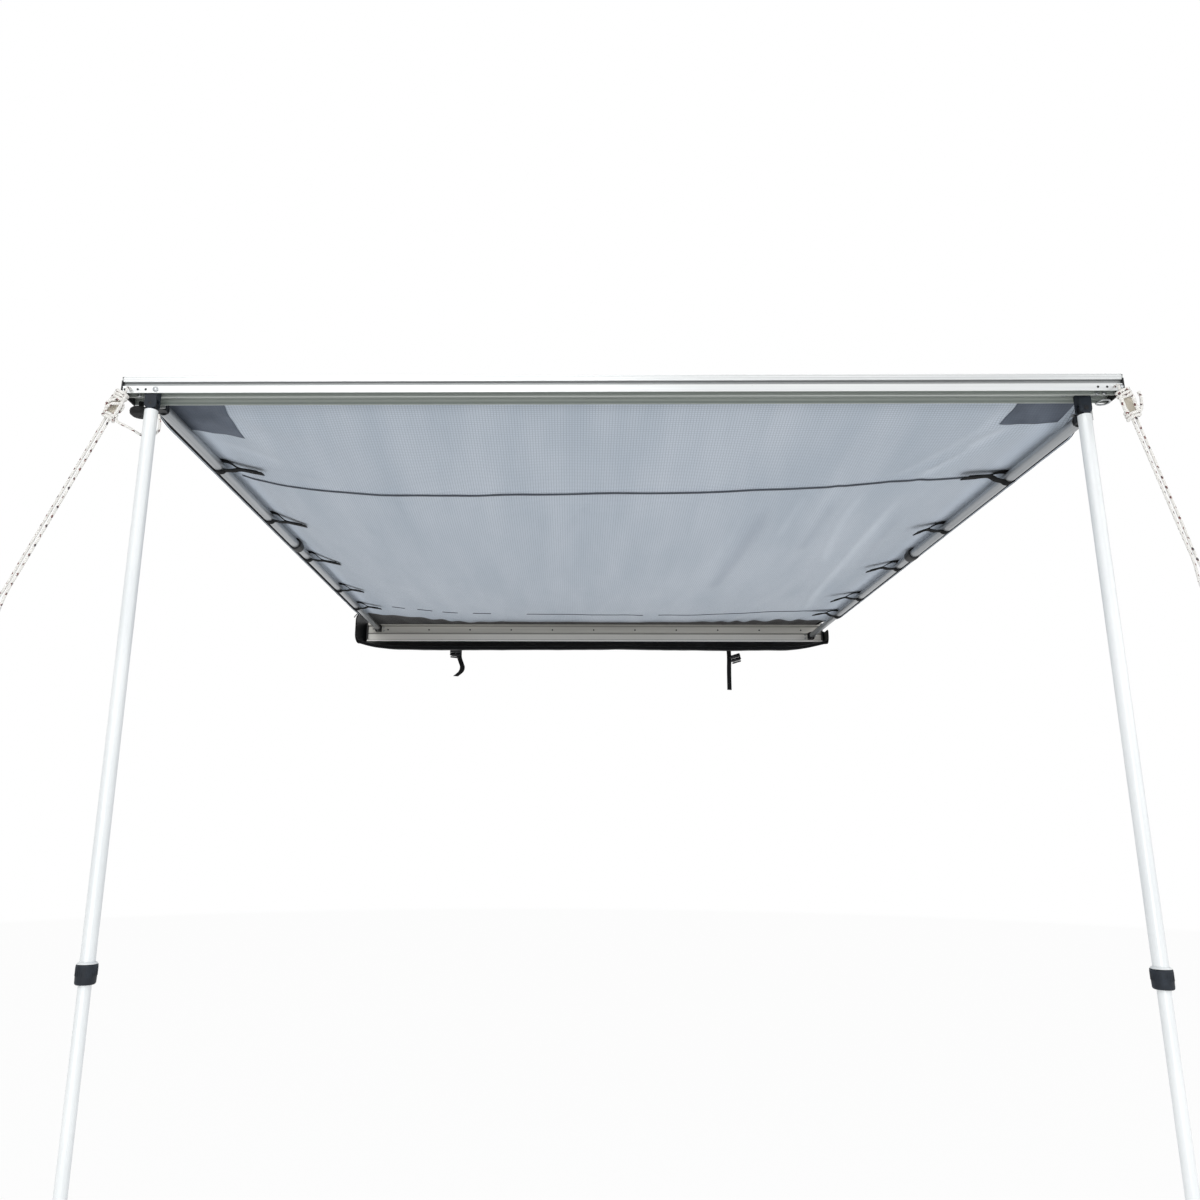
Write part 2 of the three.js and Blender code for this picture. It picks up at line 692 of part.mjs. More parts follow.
// The tab on the rail's back: a plate down its rear lip and an ear over the arm's tip. The ear's slot
// is open inwards, so the arm hooks out of it when it is swung in.
function armTab(side) {
  const [x, z] = [armX(side), armZ(side)];
  const half = tabWidth / 2;
  const plateTop = railLift + railHeight - tabTopDrop;
  const plate = block(x - half, x + half, railBack + seatGap, tabFace, z - tipKnuckleHeight / 2, plateTop);
  const earLow = z + tipKnuckleHeight / 2 + runningGap;
  const earBack = tipPivotY + tipKnuckleRadius;
  const ear = block(x - half, x + half, railBack + seatGap, earBack, earLow, earLow + tabEarThickness);
  const radius = tipPinDiameter / 2 + runningGap;
  const over = tabEarThickness + cutOverrun;
  const eye = turnedZ(rodProfile(radius, earLow - cutOverrun, earLow + over), x, tipPivotY, 0, smallSides);
  const mouth = x - side * (half + cutOverrun);
  const slot = block(
    Math.min(x, mouth), Math.max(x, mouth), tipPivotY - radius, tipPivotY + radius,
    earLow - cutOverrun, earLow + over,
  );
  return cut(join(plate, ear), eye, slot);
}

// Legs. The left one folds into the rail's front bay, the right one into its rear bay.
const legX = (side) => side * (halfWidth - legInset);
const legY = (side) => railFront + railDepth / 2 + (side * legSpacing) / 2;

function legBracket(side) {
  const [x, y] = [legX(side), legY(side)];
  const half = bracketWidth / 2;
  const top = railLift + bayCeiling - seatGap;
  const outline = [
    [x - half, top], [x - half, legPivotZ],
    ...arc(x, legPivotZ, half, Math.PI, 2 * Math.PI, roundSides / 2).slice(1, -1),
    [x + half, legPivotZ], [x + half, top],
  ];
  const body = prismY(outline, y - bracketDepth / 2, y + bracketDepth / 2);
  const slotTop = legPivotZ + tongueRadius + runningGap;
  const over = half + cutOverrun;
  const slot = block(x - over, x + over, y - bracketSlot / 2, y + bracketSlot / 2, legPivotZ - over, slotTop);
  const holeEnd = bracketDepth / 2 + cutOverrun;
  const bore = rodProfile(legPinDiameter / 2 + seatGap, -holeEnd, holeEnd);
  const hole = turnedY(bore, x, y, legPivotZ, smallSides);
  return cut(body, slot, hole);
}

// The pin's head faces the rail's middle ridge
function legPin(side) {
  const end = bracketDepth / 2;
  const radius = legPinDiameter / 2;
  const headStart = end + seatGap;
  const head = [
    [0, -end], [radius, -end], [radius, headStart], [legPinHeadDiameter / 2, headStart],
    [legPinHeadDiameter / 2, headStart + legPinHeadHeight], [0, headStart + legPinHeadHeight],
  ];
  const profile = head.map(([r, h]) => [r, -side * h]);
  return turnedY(profile, legX(side), legY(side), legPivotZ, smallSides);
}

function legKnuckle(side) {
  const [x, y] = [legX(side), legY(side)];
  const neckEnd = legPivotZ - legTubeStart + seatGap;
  const outline = [
    [x - tongueRadius, neckEnd], [x + tongueRadius, neckEnd], [x + tongueRadius, legPivotZ],
    ...arc(x, legPivotZ, tongueRadius, 0, Math.PI, roundSides / 2).slice(1, -1),
    [x - tongueRadius, legPivotZ],
  ];
  const tongue = prismY(outline, y - tongueThickness / 2, y + tongueThickness / 2);
  const plugRadius = legTubeDiameter / 2 - legTubeWall - seatGap;
  const plug = turnedZ(rodProfile(plugRadius, neckEnd - legPlugLength, neckEnd), x, y, 0);
  const over = tongueThickness / 2 + cutOverrun;
  const hole = turnedY(rodProfile(legPinDiameter / 2 + seatGap, -over, over), x, y, legPivotZ, smallSides);
  return cut(join(tongue, plug), hole);
}

function legUpperTube(side) {
  const radius = legTubeDiameter / 2;
  const profile = tubeProfile(radius - legTubeWall, radius, legCollarZ, legPivotZ - legTubeStart);
  return turnedZ(profile, legX(side), legY(side), 0);
}

function legLowerTube(side) {
  const radius = lowerTubeDiameter / 2;
  const low = groundZ + footSole + seatGap;
  const profile = tubeProfile(radius - lowerTubeWall, radius, low, legCollarZ + legOverlap);
  return turnedZ(profile, legX(side), legY(side), 0);
}

function legCollar(side) {
  const end = legCollarLength / 2;
  const outer = legCollarDiameter / 2;
  const onLower = lowerTubeDiameter / 2 + runningGap;
  const onUpper = legTubeDiameter / 2 + runningGap;
  const profile = [
    [onLower, -end], [outer - 2 * collarStep, -end], [outer - collarStep, -end + collarStep],
    [outer - collarStep, -collarWaist], [outer, -collarWaist], [outer, end - collarChamfer],
    [outer - collarChamfer, end], [onUpper, end], [onUpper, -runningGap], [onLower, -runningGap],
    [onLower, -end],
  ];
  return turnedZ(profile, legX(side), legY(side), legCollarZ);
}

function legFoot(side) {
  const socket = lowerTubeDiameter / 2 + seatGap;
  const profile = [
    [0, 0], [footDiameter / 2, 0], [footDiameter / 2, footSole], [footNeckDiameter / 2, 2 * footSole],
    [footNeckDiameter / 2, footHeight], [socket, footHeight], [socket, footSole], [0, footSole],
  ];
  return turnedZ(profile, legX(side), legY(side), groundZ);
}

// Canopy: one cloth from groove to groove. It hangs lowest in its middle, and its sides lie over the arms.
const canopySpan = canopyStart - railBack;
const canopyCrest = armX(1) - drapeShoulder; // where the sag ends and the cloth lies on the arm
const drapeRise = (armCollarDiameter + canopyThickness) / 2 + drapeClearance; // cloth's middle over the arm's axis
const sagPeakRun = canopySagPower / (1 + canopySagPower);
const sagCurve = (run) => run ** canopySagPower * (1 - run);

// From zero at the beads to one where the cloth's sides have come down to the arms
function sideEase(run) {
  const smooth = (share) => share * share * (3 - 2 * share);
  const rear = Math.min(run / canopyRearEaseShare, 1);
  const front = Math.min((1 - run) / canopyFrontEaseShare, 1);
  return smooth(rear) * smooth(front);
}

// How far the cloth falls outside the arm
function drapeDrop(offset) {
  if (offset < drapeShoulder) return (drapeShoulderDrop * offset) / drapeShoulder;
  const hem = canopyHalfWidth - armX(1);
  const fall = drapeRise - hemRise - drapeShoulderDrop;
  return drapeShoulderDrop + (fall * (offset - drapeShoulder)) / (hem - drapeShoulder);
}

function canopyHeight(x, run) {
  const side = x < 0 ? -1 : 1;
  const across = Math.min(Math.abs(x / canopyCrest), 1);
  const ease = sideEase(run);
  const beads = channelBeadZ + (railBeadZ - channelBeadZ) * run;
  const sides = beads + ease * (drapeRise + armZ(side) * across ** canopyEdgePower - beads);
  const sag = (canopySag * sagCurve(run)) / sagCurve(sagPeakRun) - ease * (beads - drapeRise);
  const inside = sides - sag * (1 - across ** canopyAcrossPower);
  return inside - ease * drapeDrop(Math.max(Math.abs(x) - armX(1), 0));
}

// Places along X where the cloth's cross-sections are taken
function canopyPlaces() {
  const half = canopyColumnShares.map((share) => share * canopyCrest);
  const right = [...half, canopyCrest, armX(1), armX(1) + drapeShoulder, canopyHalfWidth];
  return [...right.slice(1).reverse().map((x) => -x), ...right];
}

// One cross-section of the cloth, as [y, z] points round both beads and along both faces
function canopySection(x) {
  const radius = beadDiameter / 2;
  const half = canopyThickness / 2;
  const mouth = Math.asin(half / radius);
  const face = (run, side) => {
    const [before, after] = [Math.max(run - canopyTiltShare, 0), Math.min(run + canopyTiltShare, 1)];
    const rise = canopyHeight(x, after) - canopyHeight(x, before);
    const length = Math.hypot(rise, (after - before) * canopySpan);
    const tilt = rise / length;
    const level = ((after - before) * canopySpan) / length;
    const y = canopyStart - canopySpan * run;
    return [y + side * half * tilt, canopyHeight(x, run) + side * half * level];
  };
  const rear = arc(channelBeadY, channelBeadZ, radius, mouth - Math.PI, Math.PI - mouth, beadSteps).reverse();
  return [
    ...rear.slice(beadSteps / 2),
    ...canopyRunShares.map((run) => face(run, -1)),
    ...arc(railBeadY, railBeadZ, radius, mouth, 2 * Math.PI - mouth, beadSteps).reverse(),
    ...[...canopyRunShares].reverse().map((run) => face(run, 1)),
    ...rear.slice(0, beadSteps / 2),
  ];
}

const canopy = () => loft(canopyPlaces(), canopySection);

// Height of the cloth's middle at any place, on the two triangles of each cell of its grid
function clothHeight(x, run) {
  const places = canopyPlaces();
  const cell = (table, value) => {
    const i = Math.max(table.findIndex((next) => next > value) - 1, 0);
    return [i, (value - table[i]) / (table[i + 1] - table[i])];
  };
  const [[i, a], [j, b]] = [cell(places, x), cell(canopyRunShares, run)];
  const corner = (column, row) => canopyHeight(places[column], canopyRunShares[row]);
  const [first, last] = [corner(i, j), corner(i + 1, j + 1)];
  const turn = b > a ? corner(i, j + 1) : corner(i + 1, j);
  return first + (turn - first) * Math.max(a, b) + (last - turn) * Math.min(a, b);
}

// How far in front of the channel's back each strap sits, clear of the collar
function strapReaches() {
  const clear = (armCollarLength + strapWidth) / 2 + seatGap;
  const between = (near, far, share) => near + (far - near) * share;
  return [
    ...innerStrapShares.map((share) => between(-canopyStart, armCollarReach - clear, share)),
    ...outerStrapShares.map((share) => between(armCollarReach + clear, -railBack, share)),
  ];
}

// A strap loops under its arm and closes against the canopy
function armStrap(side, strapReach) {
  const [x, z] = [armX(side), armZ(side)];
  const y = -strapReach;
  const share = (canopyStart + strapReach) / canopySpan;
  const inner = outerTubeRadius + strapClearance;
  const outer = inner + strapThickness;
  const half = strapWidth / 2;
  const reach = half / canopySpan;
  const under = (offset, depth) => {
    const place = x + side * offset;
    const cloth = Math.min(clothHeight(place, share - reach), clothHeight(place, share + reach));
    return [place, cloth - canopyThickness / 2 - seatGap - depth];
  };
  const loop = (radius, depth) => {
    const outwards = [-radius, 0, drapeShoulder, radius].map((offset) => under(offset, depth));
    const top = side > 0 ? outwards.reverse() : outwards;
    return [...arc(x, z, radius, Math.PI, 2 * Math.PI, roundSides / 2), ...top];
  };
  return prismY(loop(outer, 0), y - half, y + half, [loop(inner, strapThickness)]);
}

// Storage bag: a sheet tucked under the channel that droops in front of it, and two end panels
const bagStart = lowerLipReach - bagBackTuck;
const bagPanelFoot = halfWidth + seatGap; // inner face of an end panel at the channel
const bagTop = -channelHeight / 2 - seatGap - bagThickness / 2;

function bagDrop(reach, taper) {
  if (reach < lowerLipReach) return 0;
  const run = (reach - lowerLipReach) / (bagDepth - lowerLipReach);
  const full = bagDroop * (bagEndDroopShare + (1 - bagEndDroopShare) * taper);
  return full * Math.sin(run * bagCurlShare * Math.PI);
}

// Zero at the bag's ends, one along its middle
function bagTaper(fromMiddle) {
  const fromEnd = Math.min(((1 - fromMiddle) * bagPanelFoot) / bagDroopTaper, 1);
  return Math.sin((fromEnd * Math.PI) / 2);
}

function bagPoint(u, v) {
  const even = 2 * u - 1;
  const spread = Math.sign(even) * (1 - (1 - Math.abs(even)) ** bagEndCrowding);
  const taper = bagTaper(Math.abs(spread));
  const depth = bagDepth - bagEndPull * (1 - taper);
  const reach = bagStart + (depth - bagStart) * v;
  const edge = bagPanelFoot + bagThickness / 2 + (bagPanelLean * reach) / bagDepth;
  return [edge * spread, -reach, bagTop - bagDrop(reach, taper)];
}

function bagPanelOutline() {
  const front = -bagDepth;
  const r = bagCornerRadius;
  return [
    [0, bagTop - bagThickness], [0, channelHeight / 2], [front / 2, bagPanelRise],
    ...arc(front + r, bagPanelRise - r, r, Math.PI / 2, Math.PI, filletSides),
    ...arc(front + r, r - bagPanelDrop, r, Math.PI, (3 * Math.PI) / 2, filletSides),
  ];
}

// The panel's flat outline sheared so that its front leans outwards
function bagPanel(side) {
  const panel = prismX(bagPanelOutline(), 0, bagThickness);
  const lean = new THREE.Matrix4();
  lean.elements[4] = -bagPanelLean / bagDepth;
  panel.applyMatrix4(lean).translate(bagPanelFoot, 0, 0);
  return side > 0 ? panel : panel.applyMatrix4(new THREE.Matrix4().makeScale(-1, 1, 1));
}

function storageBag() {
  const tray = sheet(bagColumns, bagRows, bagPoint, bagThickness);
  return join(tray, bagPanel(-1), bagPanel(1));
}

// Webbing that hangs from the bag's sheet under the channel, with its side-release buckle
function bagStrap(side, length) {
  const [x, y] = [side * bagStrapX, -bagStrapReach];
  const top = bagTop - bagThickness / 2 - seatGap;
  const [half, thick] = [bagStrapWidth / 2, bagStrapThickness / 2];
  const [wide, deep] = [bagBuckleWidth / 2, bagBuckleThickness / 2];
  const buckleTop = top - bagBuckleDrop;
  const web = block(x - half, x + half, y - thick, y + thick, top - length, top);
  const buckle = block(x - wide, x + wide, y - deep, y + deep, buckleTop - bagBuckleHeight, buckleTop);
  return join(web, buckle);
}

// Guy ropes. Each runs out of its hole, down through the slider to the far loop and back up to the
// slider's lower end. Its places are measured along the line from hole to loop, and across it.
const sideName = (side) => (side < 0 ? "left" : "right");
const sliderEnd = sliderStart + sliderLength;

function guyLine(side) {
  const out = side < 0 ? ropeOutLeft : ropeOutRight;
  const drop = side < 0 ? ropeDropLeft : ropeDropRight;
  const length = Math.hypot(out, drop);
  const down = new THREE.Vector3((side * out) / length, 0, -drop / length);
  const across = new THREE.Vector3((side * drop) / length, 0, out / length);
  const hole = new THREE.Vector3(side * guyHoleX, railFront, guyHoleZ);
  const place = (along, aside, forward) => {
    const point = hole.clone().addScaledVector(down, along).addScaledVector(across, aside);
    return point.addScaledVector(alongY, -forward);
  };
  return { length, down, across, place };
}

function guyPath(side) {
  const { length, place } = guyLine(side);
  const points = [place(0, 0, -ropeTail), place(0, 0, 0)];
  for (let i = 0; i <= ropeBendSteps; i++) {
    const angle = (i * Math.PI) / (2 * ropeBendSteps);
    const fall = 1 - Math.cos(angle);
    const forward = ropeStandOff - ropeBendRadius * (1 - Math.sin(angle));
    points.push(place(ropeBendRadius * fall, -strandOffset * fall, forward));
  }
  for (const along of [sliderStart, sliderStart + sliderLength / 2, sliderEnd, sliderEnd + ropeLead]) {
    points.push(place(along, -strandOffset, ropeStandOff));
  }
  for (let i = 0; i <= ropeLoopSteps; i++) {
    const angle = (i * Math.PI) / ropeLoopSteps;
    const aside = -ropeLoopRadius * Math.cos(angle);
    points.push(place(length + ropeLoopRadius * Math.sin(angle), aside, ropeStandOff));
  }
  for (const along of [sliderEnd + 2 * ropeLead, sliderEnd + ropeLead, sliderEnd + seatGap]) {
    points.push(place(along, strandOffset, ropeStandOff));
  }
  return new THREE.CatmullRomCurve3(points, false, "centripetal");
}

function guyRope(side) {
  const section = arc(0, 0, ropeDiameter / 2, 0, 2 * Math.PI, ropeSides).slice(0, -1);
  return new THREE.ExtrudeGeometry(outlineShape(section), {
    steps: ropeSteps, bevelEnabled: false, extrudePath: guyPath(side),
  });
}

function guySlider(side) {
  const { down, across, place } = guyLine(side);
  const half = sliderWidth / 2;
  const outline = [
    [-half, -sliderLength], [half, -sliderLength],
    ...arc(0, -half, half, 0, Math.PI, roundSides / 2).slice(1, -1),
  ];
  const bar = prismY(outline, -sliderThickness / 2, sliderThickness / 2);
  const bore = rodProfile(ropeDiameter / 2 + seatGap, -sliderLength - cutOverrun, cutOverrun);
  const bored = cut(bar, turnedZ(bore, -strandOffset, 0, 0, smallSides));
  const { x, y, z } = place(sliderStart, 0, ropeStandOff);
  return turnedBy(bored, across, alongY, down.clone().negate(), x, y, z);
}

// Materials
function finish(color, roughness, metalness) {
  return new THREE.MeshStandardMaterial({ color, roughness, metalness });
}
const satinAluminium = () => finish(0xc4c6c4, 0.38, 0.9);
const greyAluminium = () => finish(0xa5a39b, 0.45, 0.85);
const whiteTube = () => finish(0xe4e8ea, 0.35, 0.3);
const armTube = () => finish(0x9ea2a6, 0.35, 0.8);
const blackPlastic = () => finish(0x1b1d20, 0.5, 0);
const slatePlastic = () => finish(0x33383d, 0.5, 0);
const canopyCloth = () => finish(0xa3acb8, 0.85, 0);
const bagCloth = () => finish(0x17191b, 0.6, 0);
const webbing = () => finish(0x141414, 0.9, 0);
const rope = () => finish(0xe9e6e0, 0.85, 0);
const tanPlastic = () => finish(0xd9d0bf, 0.5, 0);
const steel = () => finish(0x8d9093, 0.3, 1);
const rubber = () => finish(0x202020, 0.85, 0);

const awning = new THREE.Group();

function add(name, geometry, material) {
  const mesh = new THREE.Mesh(welded(geometry), material);
  mesh.name = name;
  awning.add(mesh);
}

add("backing_channel", backingChannel(), greyAluminium());
add("front_rail", frontRail(), satinAluminium());
add("canopy", canopy(), canopyCloth());
add("storage_bag", storageBag(), bagCloth());

for (const side of [-1, 1]) {
  const name = sideName(side);
  add(`channel_end_cap_${name}`, channelEndCap(side), blackPlastic());
  add(`rail_end_cap_${name}`, railEndCap(side), blackPlastic());
  add(`roof_bracket_${name}`, roofBracket(side), greyAluminium());
  add(`bracket_bolt_upper_${name}`, bracketBolt(side, 1), steel());
  add(`bracket_bolt_lower_${name}`, bracketBolt(side, -1), steel());

  add(`arm_hinge_${name}`, armHinge(side), blackPlastic());
  add(`arm_hinge_pin_${name}`, armHingePin(side), steel());
  add(`arm_knuckle_${name}`, armKnuckle(side), blackPlastic());
  add(`arm_inner_tube_${name}`, armInnerTube(side), armTube());
  add(`arm_outer_tube_${name}`, armOuterTube(side), armTube());
  add(`arm_collar_${name}`, armCollar(side), blackPlastic());
  add(`arm_tip_${name}`, armTip(side), blackPlastic());
  add(`arm_tab_${name}`, armTab(side), greyAluminium());

  add(`leg_bracket_${name}`, legBracket(side), slatePlastic());
  add(`leg_pin_${name}`, legPin(side), steel());
  add(`leg_knuckle_${name}`, legKnuckle(side), blackPlastic());
  add(`leg_upper_tube_${name}`, legUpperTube(side), whiteTube());
  add(`leg_collar_${name}`, legCollar(side), slatePlastic());
  add(`leg_lower_tube_${name}`, legLowerTube(side), whiteTube());
  add(`leg_foot_${name}`, legFoot(side), rubber());

  add(`bag_strap_${name}`, bagStrap(side, side < 0 ? bagStrapLengthLeft : bagStrapLengthRight), webbing());
  add(`guy_rope_${name}`, guyRope(side), rope());
  add(`guy_slider_${name}`, guySlider(side), tanPlastic());
  strapReaches().forEach((reach, i) => {
    add(`arm_strap_${name}_${i + 1}`, armStrap(side, reach), webbing());
  });
}

export default awning;
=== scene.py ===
import json
import math

import bmesh
import bpy
from mathutils import Matrix, Vector, noise

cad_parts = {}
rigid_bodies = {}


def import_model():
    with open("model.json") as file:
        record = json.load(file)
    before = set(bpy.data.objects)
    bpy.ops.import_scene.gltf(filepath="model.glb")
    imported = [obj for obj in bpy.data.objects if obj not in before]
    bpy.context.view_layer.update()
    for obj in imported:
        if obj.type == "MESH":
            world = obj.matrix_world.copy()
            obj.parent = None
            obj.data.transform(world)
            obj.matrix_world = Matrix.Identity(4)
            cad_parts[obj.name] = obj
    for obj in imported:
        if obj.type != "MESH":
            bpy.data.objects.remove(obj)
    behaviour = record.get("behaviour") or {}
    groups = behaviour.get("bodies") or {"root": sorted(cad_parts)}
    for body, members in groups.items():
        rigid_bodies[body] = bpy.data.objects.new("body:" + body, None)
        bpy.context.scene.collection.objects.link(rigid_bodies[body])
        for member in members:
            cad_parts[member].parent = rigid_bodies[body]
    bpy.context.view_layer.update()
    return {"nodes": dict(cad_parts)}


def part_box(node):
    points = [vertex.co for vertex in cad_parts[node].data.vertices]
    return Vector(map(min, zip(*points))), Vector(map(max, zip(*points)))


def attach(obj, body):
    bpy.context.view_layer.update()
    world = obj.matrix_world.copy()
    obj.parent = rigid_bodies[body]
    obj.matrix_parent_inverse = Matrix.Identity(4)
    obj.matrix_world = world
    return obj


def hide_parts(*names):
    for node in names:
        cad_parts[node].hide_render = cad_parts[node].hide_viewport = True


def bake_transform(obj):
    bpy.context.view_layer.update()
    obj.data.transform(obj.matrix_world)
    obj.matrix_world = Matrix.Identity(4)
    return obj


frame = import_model()
NODES = frame["nodes"]
SIDES = {"left": -1, "right": 1}

# Places and sizes of the solids, in metres
CLOTH_HALF = 0.9817
CLOTH_BACK = -0.0218
CLOTH_FRONT = -2.34
CLOTH_BACK_Z = 0.0362
CLOTH_FRONT_Z = 0.0422
CLOTH_SAG = 0.140
SAG_POWER = 1.33
ACROSS_POWER = 2.6
EDGE_POWER = 7
REAR_EASE = 0.17
FRONT_EASE = 0.06
CREST = 0.942
SHOULDER = 0.008
SHOULDER_DROP = 0.0017
HEM_DROP = 0.0149
DRAPE = 0.0196
ARM_X = 0.95
ARM_Z = {-1: 0.0155, 1: -0.0155}
RAIL_FRONT = -2.4
RAIL_BOTTOM = 0.012
RAIL_LIP_Z = RAIL_BOTTOM + 0.0075
FLOOR_Z = -1.76


# Camera

def photo_camera():
    """The camera that was fitted to the rail, the channel, the arms and the legs."""
    width, focal, across, down = 1200, 958.2, 557.9, 587.7  # in pixels of the photograph
    place = (-0.09, -4.16, -0.83)
    yaw, pitch, roll = (math.radians(angle) for angle in (-0.95, 14.0, 0.27))
    forward = Vector((math.sin(yaw) * math.cos(pitch), math.cos(yaw) * math.cos(pitch), math.sin(pitch)))
    right = Vector((math.cos(yaw), -math.sin(yaw), 0))
    up = right.cross(forward)
    right, up = (
        math.cos(roll) * right + math.sin(roll) * up,
        math.cos(roll) * up - math.sin(roll) * right,
    )
    data = bpy.data.cameras.new("photo_camera")
    data.sensor_width = 36
    data.lens = 36 * focal / width
    data.shift_x = (width / 2 - across) / width
    data.shift_y = (down - width / 2) / width
    data.clip_end = 200
    camera = bpy.data.objects.new("photo_camera", data)
    turn = Matrix((right, up, -forward)).transposed().to_4x4()
    camera.matrix_world = Matrix.Translation(place) @ turn
    bpy.context.scene.collection.objects.link(camera)
    bpy.context.scene.camera = camera


photo_camera()


def operator(operation, swapped=False):
    """A method that puts its terms through a Math node."""
    def apply(self, *others):
        terms = (*others, self) if swapped else (self, *others)
        return self.wiring.math(operation, *terms)

    return apply


class Value:
    """What a node gives to the next, with arithmetic that adds the Math nodes."""

    def __init__(self, wiring, socket):
        self.wiring = wiring
        self.socket = socket

    __add__ = operator("ADD")
    __radd__ = operator("ADD", swapped=True)
    __sub__ = operator("SUBTRACT")
    __rsub__ = operator("SUBTRACT", swapped=True)
    __mul__ = operator("MULTIPLY")
    __truediv__ = operator("DIVIDE")
    __mod__ = operator("FLOORED_MODULO")
    __abs__ = operator("ABSOLUTE")
    __lt__ = operator("LESS_THAN")
    __gt__ = operator("GREATER_THAN")
    sine = operator("SINE")
    most = operator("MAXIMUM")

    def rise(self, low, high):
        """Zero below low, one above high, and smooth between them."""
        return self.wiring.node(
            "ShaderNodeMapRange",
            {"interpolation_type": "SMOOTHSTEP"},
            {"Value": self, "From Min": low, "From Max": high},
        )


class Wiring:
    """A node tree, and what adds wired nodes to it."""

    def __init__(self, tree):
        self.tree = tree

    def node(self, kind, settings=None, inputs=None, out=0):
        made = self.tree.nodes.new(kind)
        for key, value in (settings or {}).items():
            setattr(made, key, value)
        by_id = {s.identifier: s for s in made.inputs}
        for key, value in (inputs or {}).items():
            self.wire(value, by_id.get(key) or made.inputs[key])
        return Value(self, made.outputs[out])

    def wire(self, value, socket):
        if isinstance(value, Value):
            self.tree.links.new(value.socket, socket)
        elif isinstance(value, tuple) and socket.type == "RGBA":
            socket.default_value = (*value, 1)
        else:
            socket.default_value = value

    def math(self, operation, *terms):
        return self.node("ShaderNodeMath", {"operation": operation}, dict(enumerate(terms)))

    def point(self, x, y, z=0.0):
        return self.node("ShaderNodeCombineXYZ", {}, {0: x, 1: y, 2: z})

    def seen(self):
        """One where the camera sees a place, straight, in a reflection or through something clear."""
        rays = self.tree.nodes.new("ShaderNodeLightPath").outputs
        kinds = ("Camera", "Glossy", "Transmission")
        straight, mirrored, through = (Value(self, rays[f"Is {kind} Ray"]) for kind in kinds)
        return straight.most(mirrored).most(through)


class Recipe(Wiring):
    """One material, with its tree and its Principled shader."""

    def __init__(self, name):
        self.material = bpy.data.materials.new(name)
        self.material.use_nodes = True
        super().__init__(self.material.node_tree)
        self.shader = next(n for n in self.tree.nodes if n.type == "BSDF_PRINCIPLED")

    def place(self):
        """Object coordinates in metres, as three numbers."""
        return self.parts(self.node("ShaderNodeTexCoord", out=3))

    def flat(self):
        """The piece's own UV map in metres, as two numbers."""
        return self.parts(self.node("ShaderNodeUVMap", {"uv_map": "flat"}))[:2]

    def parts(self, vector):
        split = self.tree.nodes.new("ShaderNodeSeparateXYZ")
        self.tree.links.new(vector.socket, split.inputs[0])
        return [Value(self, s) for s in split.outputs]

    def noise(self, place, scale, detail=2.0, rough=0.5):
        return self.node(
            "ShaderNodeTexNoise",
            {"noise_dimensions": "3D"},
            {"Vector": place, "Scale": scale, "Detail": detail, "Roughness": rough},
        )

    def blend(self, share, first, second):
        return self.node(
            "ShaderNodeMix",
            {"data_type": "RGBA"},
            {"Factor_Float": share, "A_Color": first, "B_Color": second},
            out=2,
        )

    def bump(self, height, depth, strength=1.0):
        return self.node(
            "ShaderNodeBump", {}, {"Height": height, "Distance": depth, "Strength": strength}
        )

    def done(self, **sockets):
        for key, value in sockets.items():
            self.wire(value, self.shader.inputs[key.replace("_", " ")])
        return self.material


def linear(*screen):
    """A colour as it looks on a screen, in 0 to 255, as the shader wants it."""
    shares = (level / 255 for level in screen)
    return tuple(((c + 0.055) / 1.055) ** 2.4 if c > 0.04045 else c / 12.92 for c in shares)


def near(value, middle, half):
    """One within half of the middle."""
    return abs(value - middle) < half


def between(value, low, high):
    return (value > low) * (value < high)


# Materials

RIPSTOP = 0.0062  # from one thick thread of the cloth to the next
WEAVE = 3900.0  # the woven relief's phase for each metre
# A crease's tone on the cloth is painted light above zero and painted shade below it.
CREASE_SHADING_FULL = 1.4  # the strength at which a crease has its full tone


def ripstop(u, v, bare):
    """The thick threads of the cloth's grid, where bare is half the share of a cell without them."""
    return (abs((u / RIPSTOP) % 1.0 - 0.5) > bare).most(abs((v / RIPSTOP) % 1.0 - 0.5) > bare)


def woven(u, v):
    return (u * WEAVE).sine() * (v * WEAVE).sine()


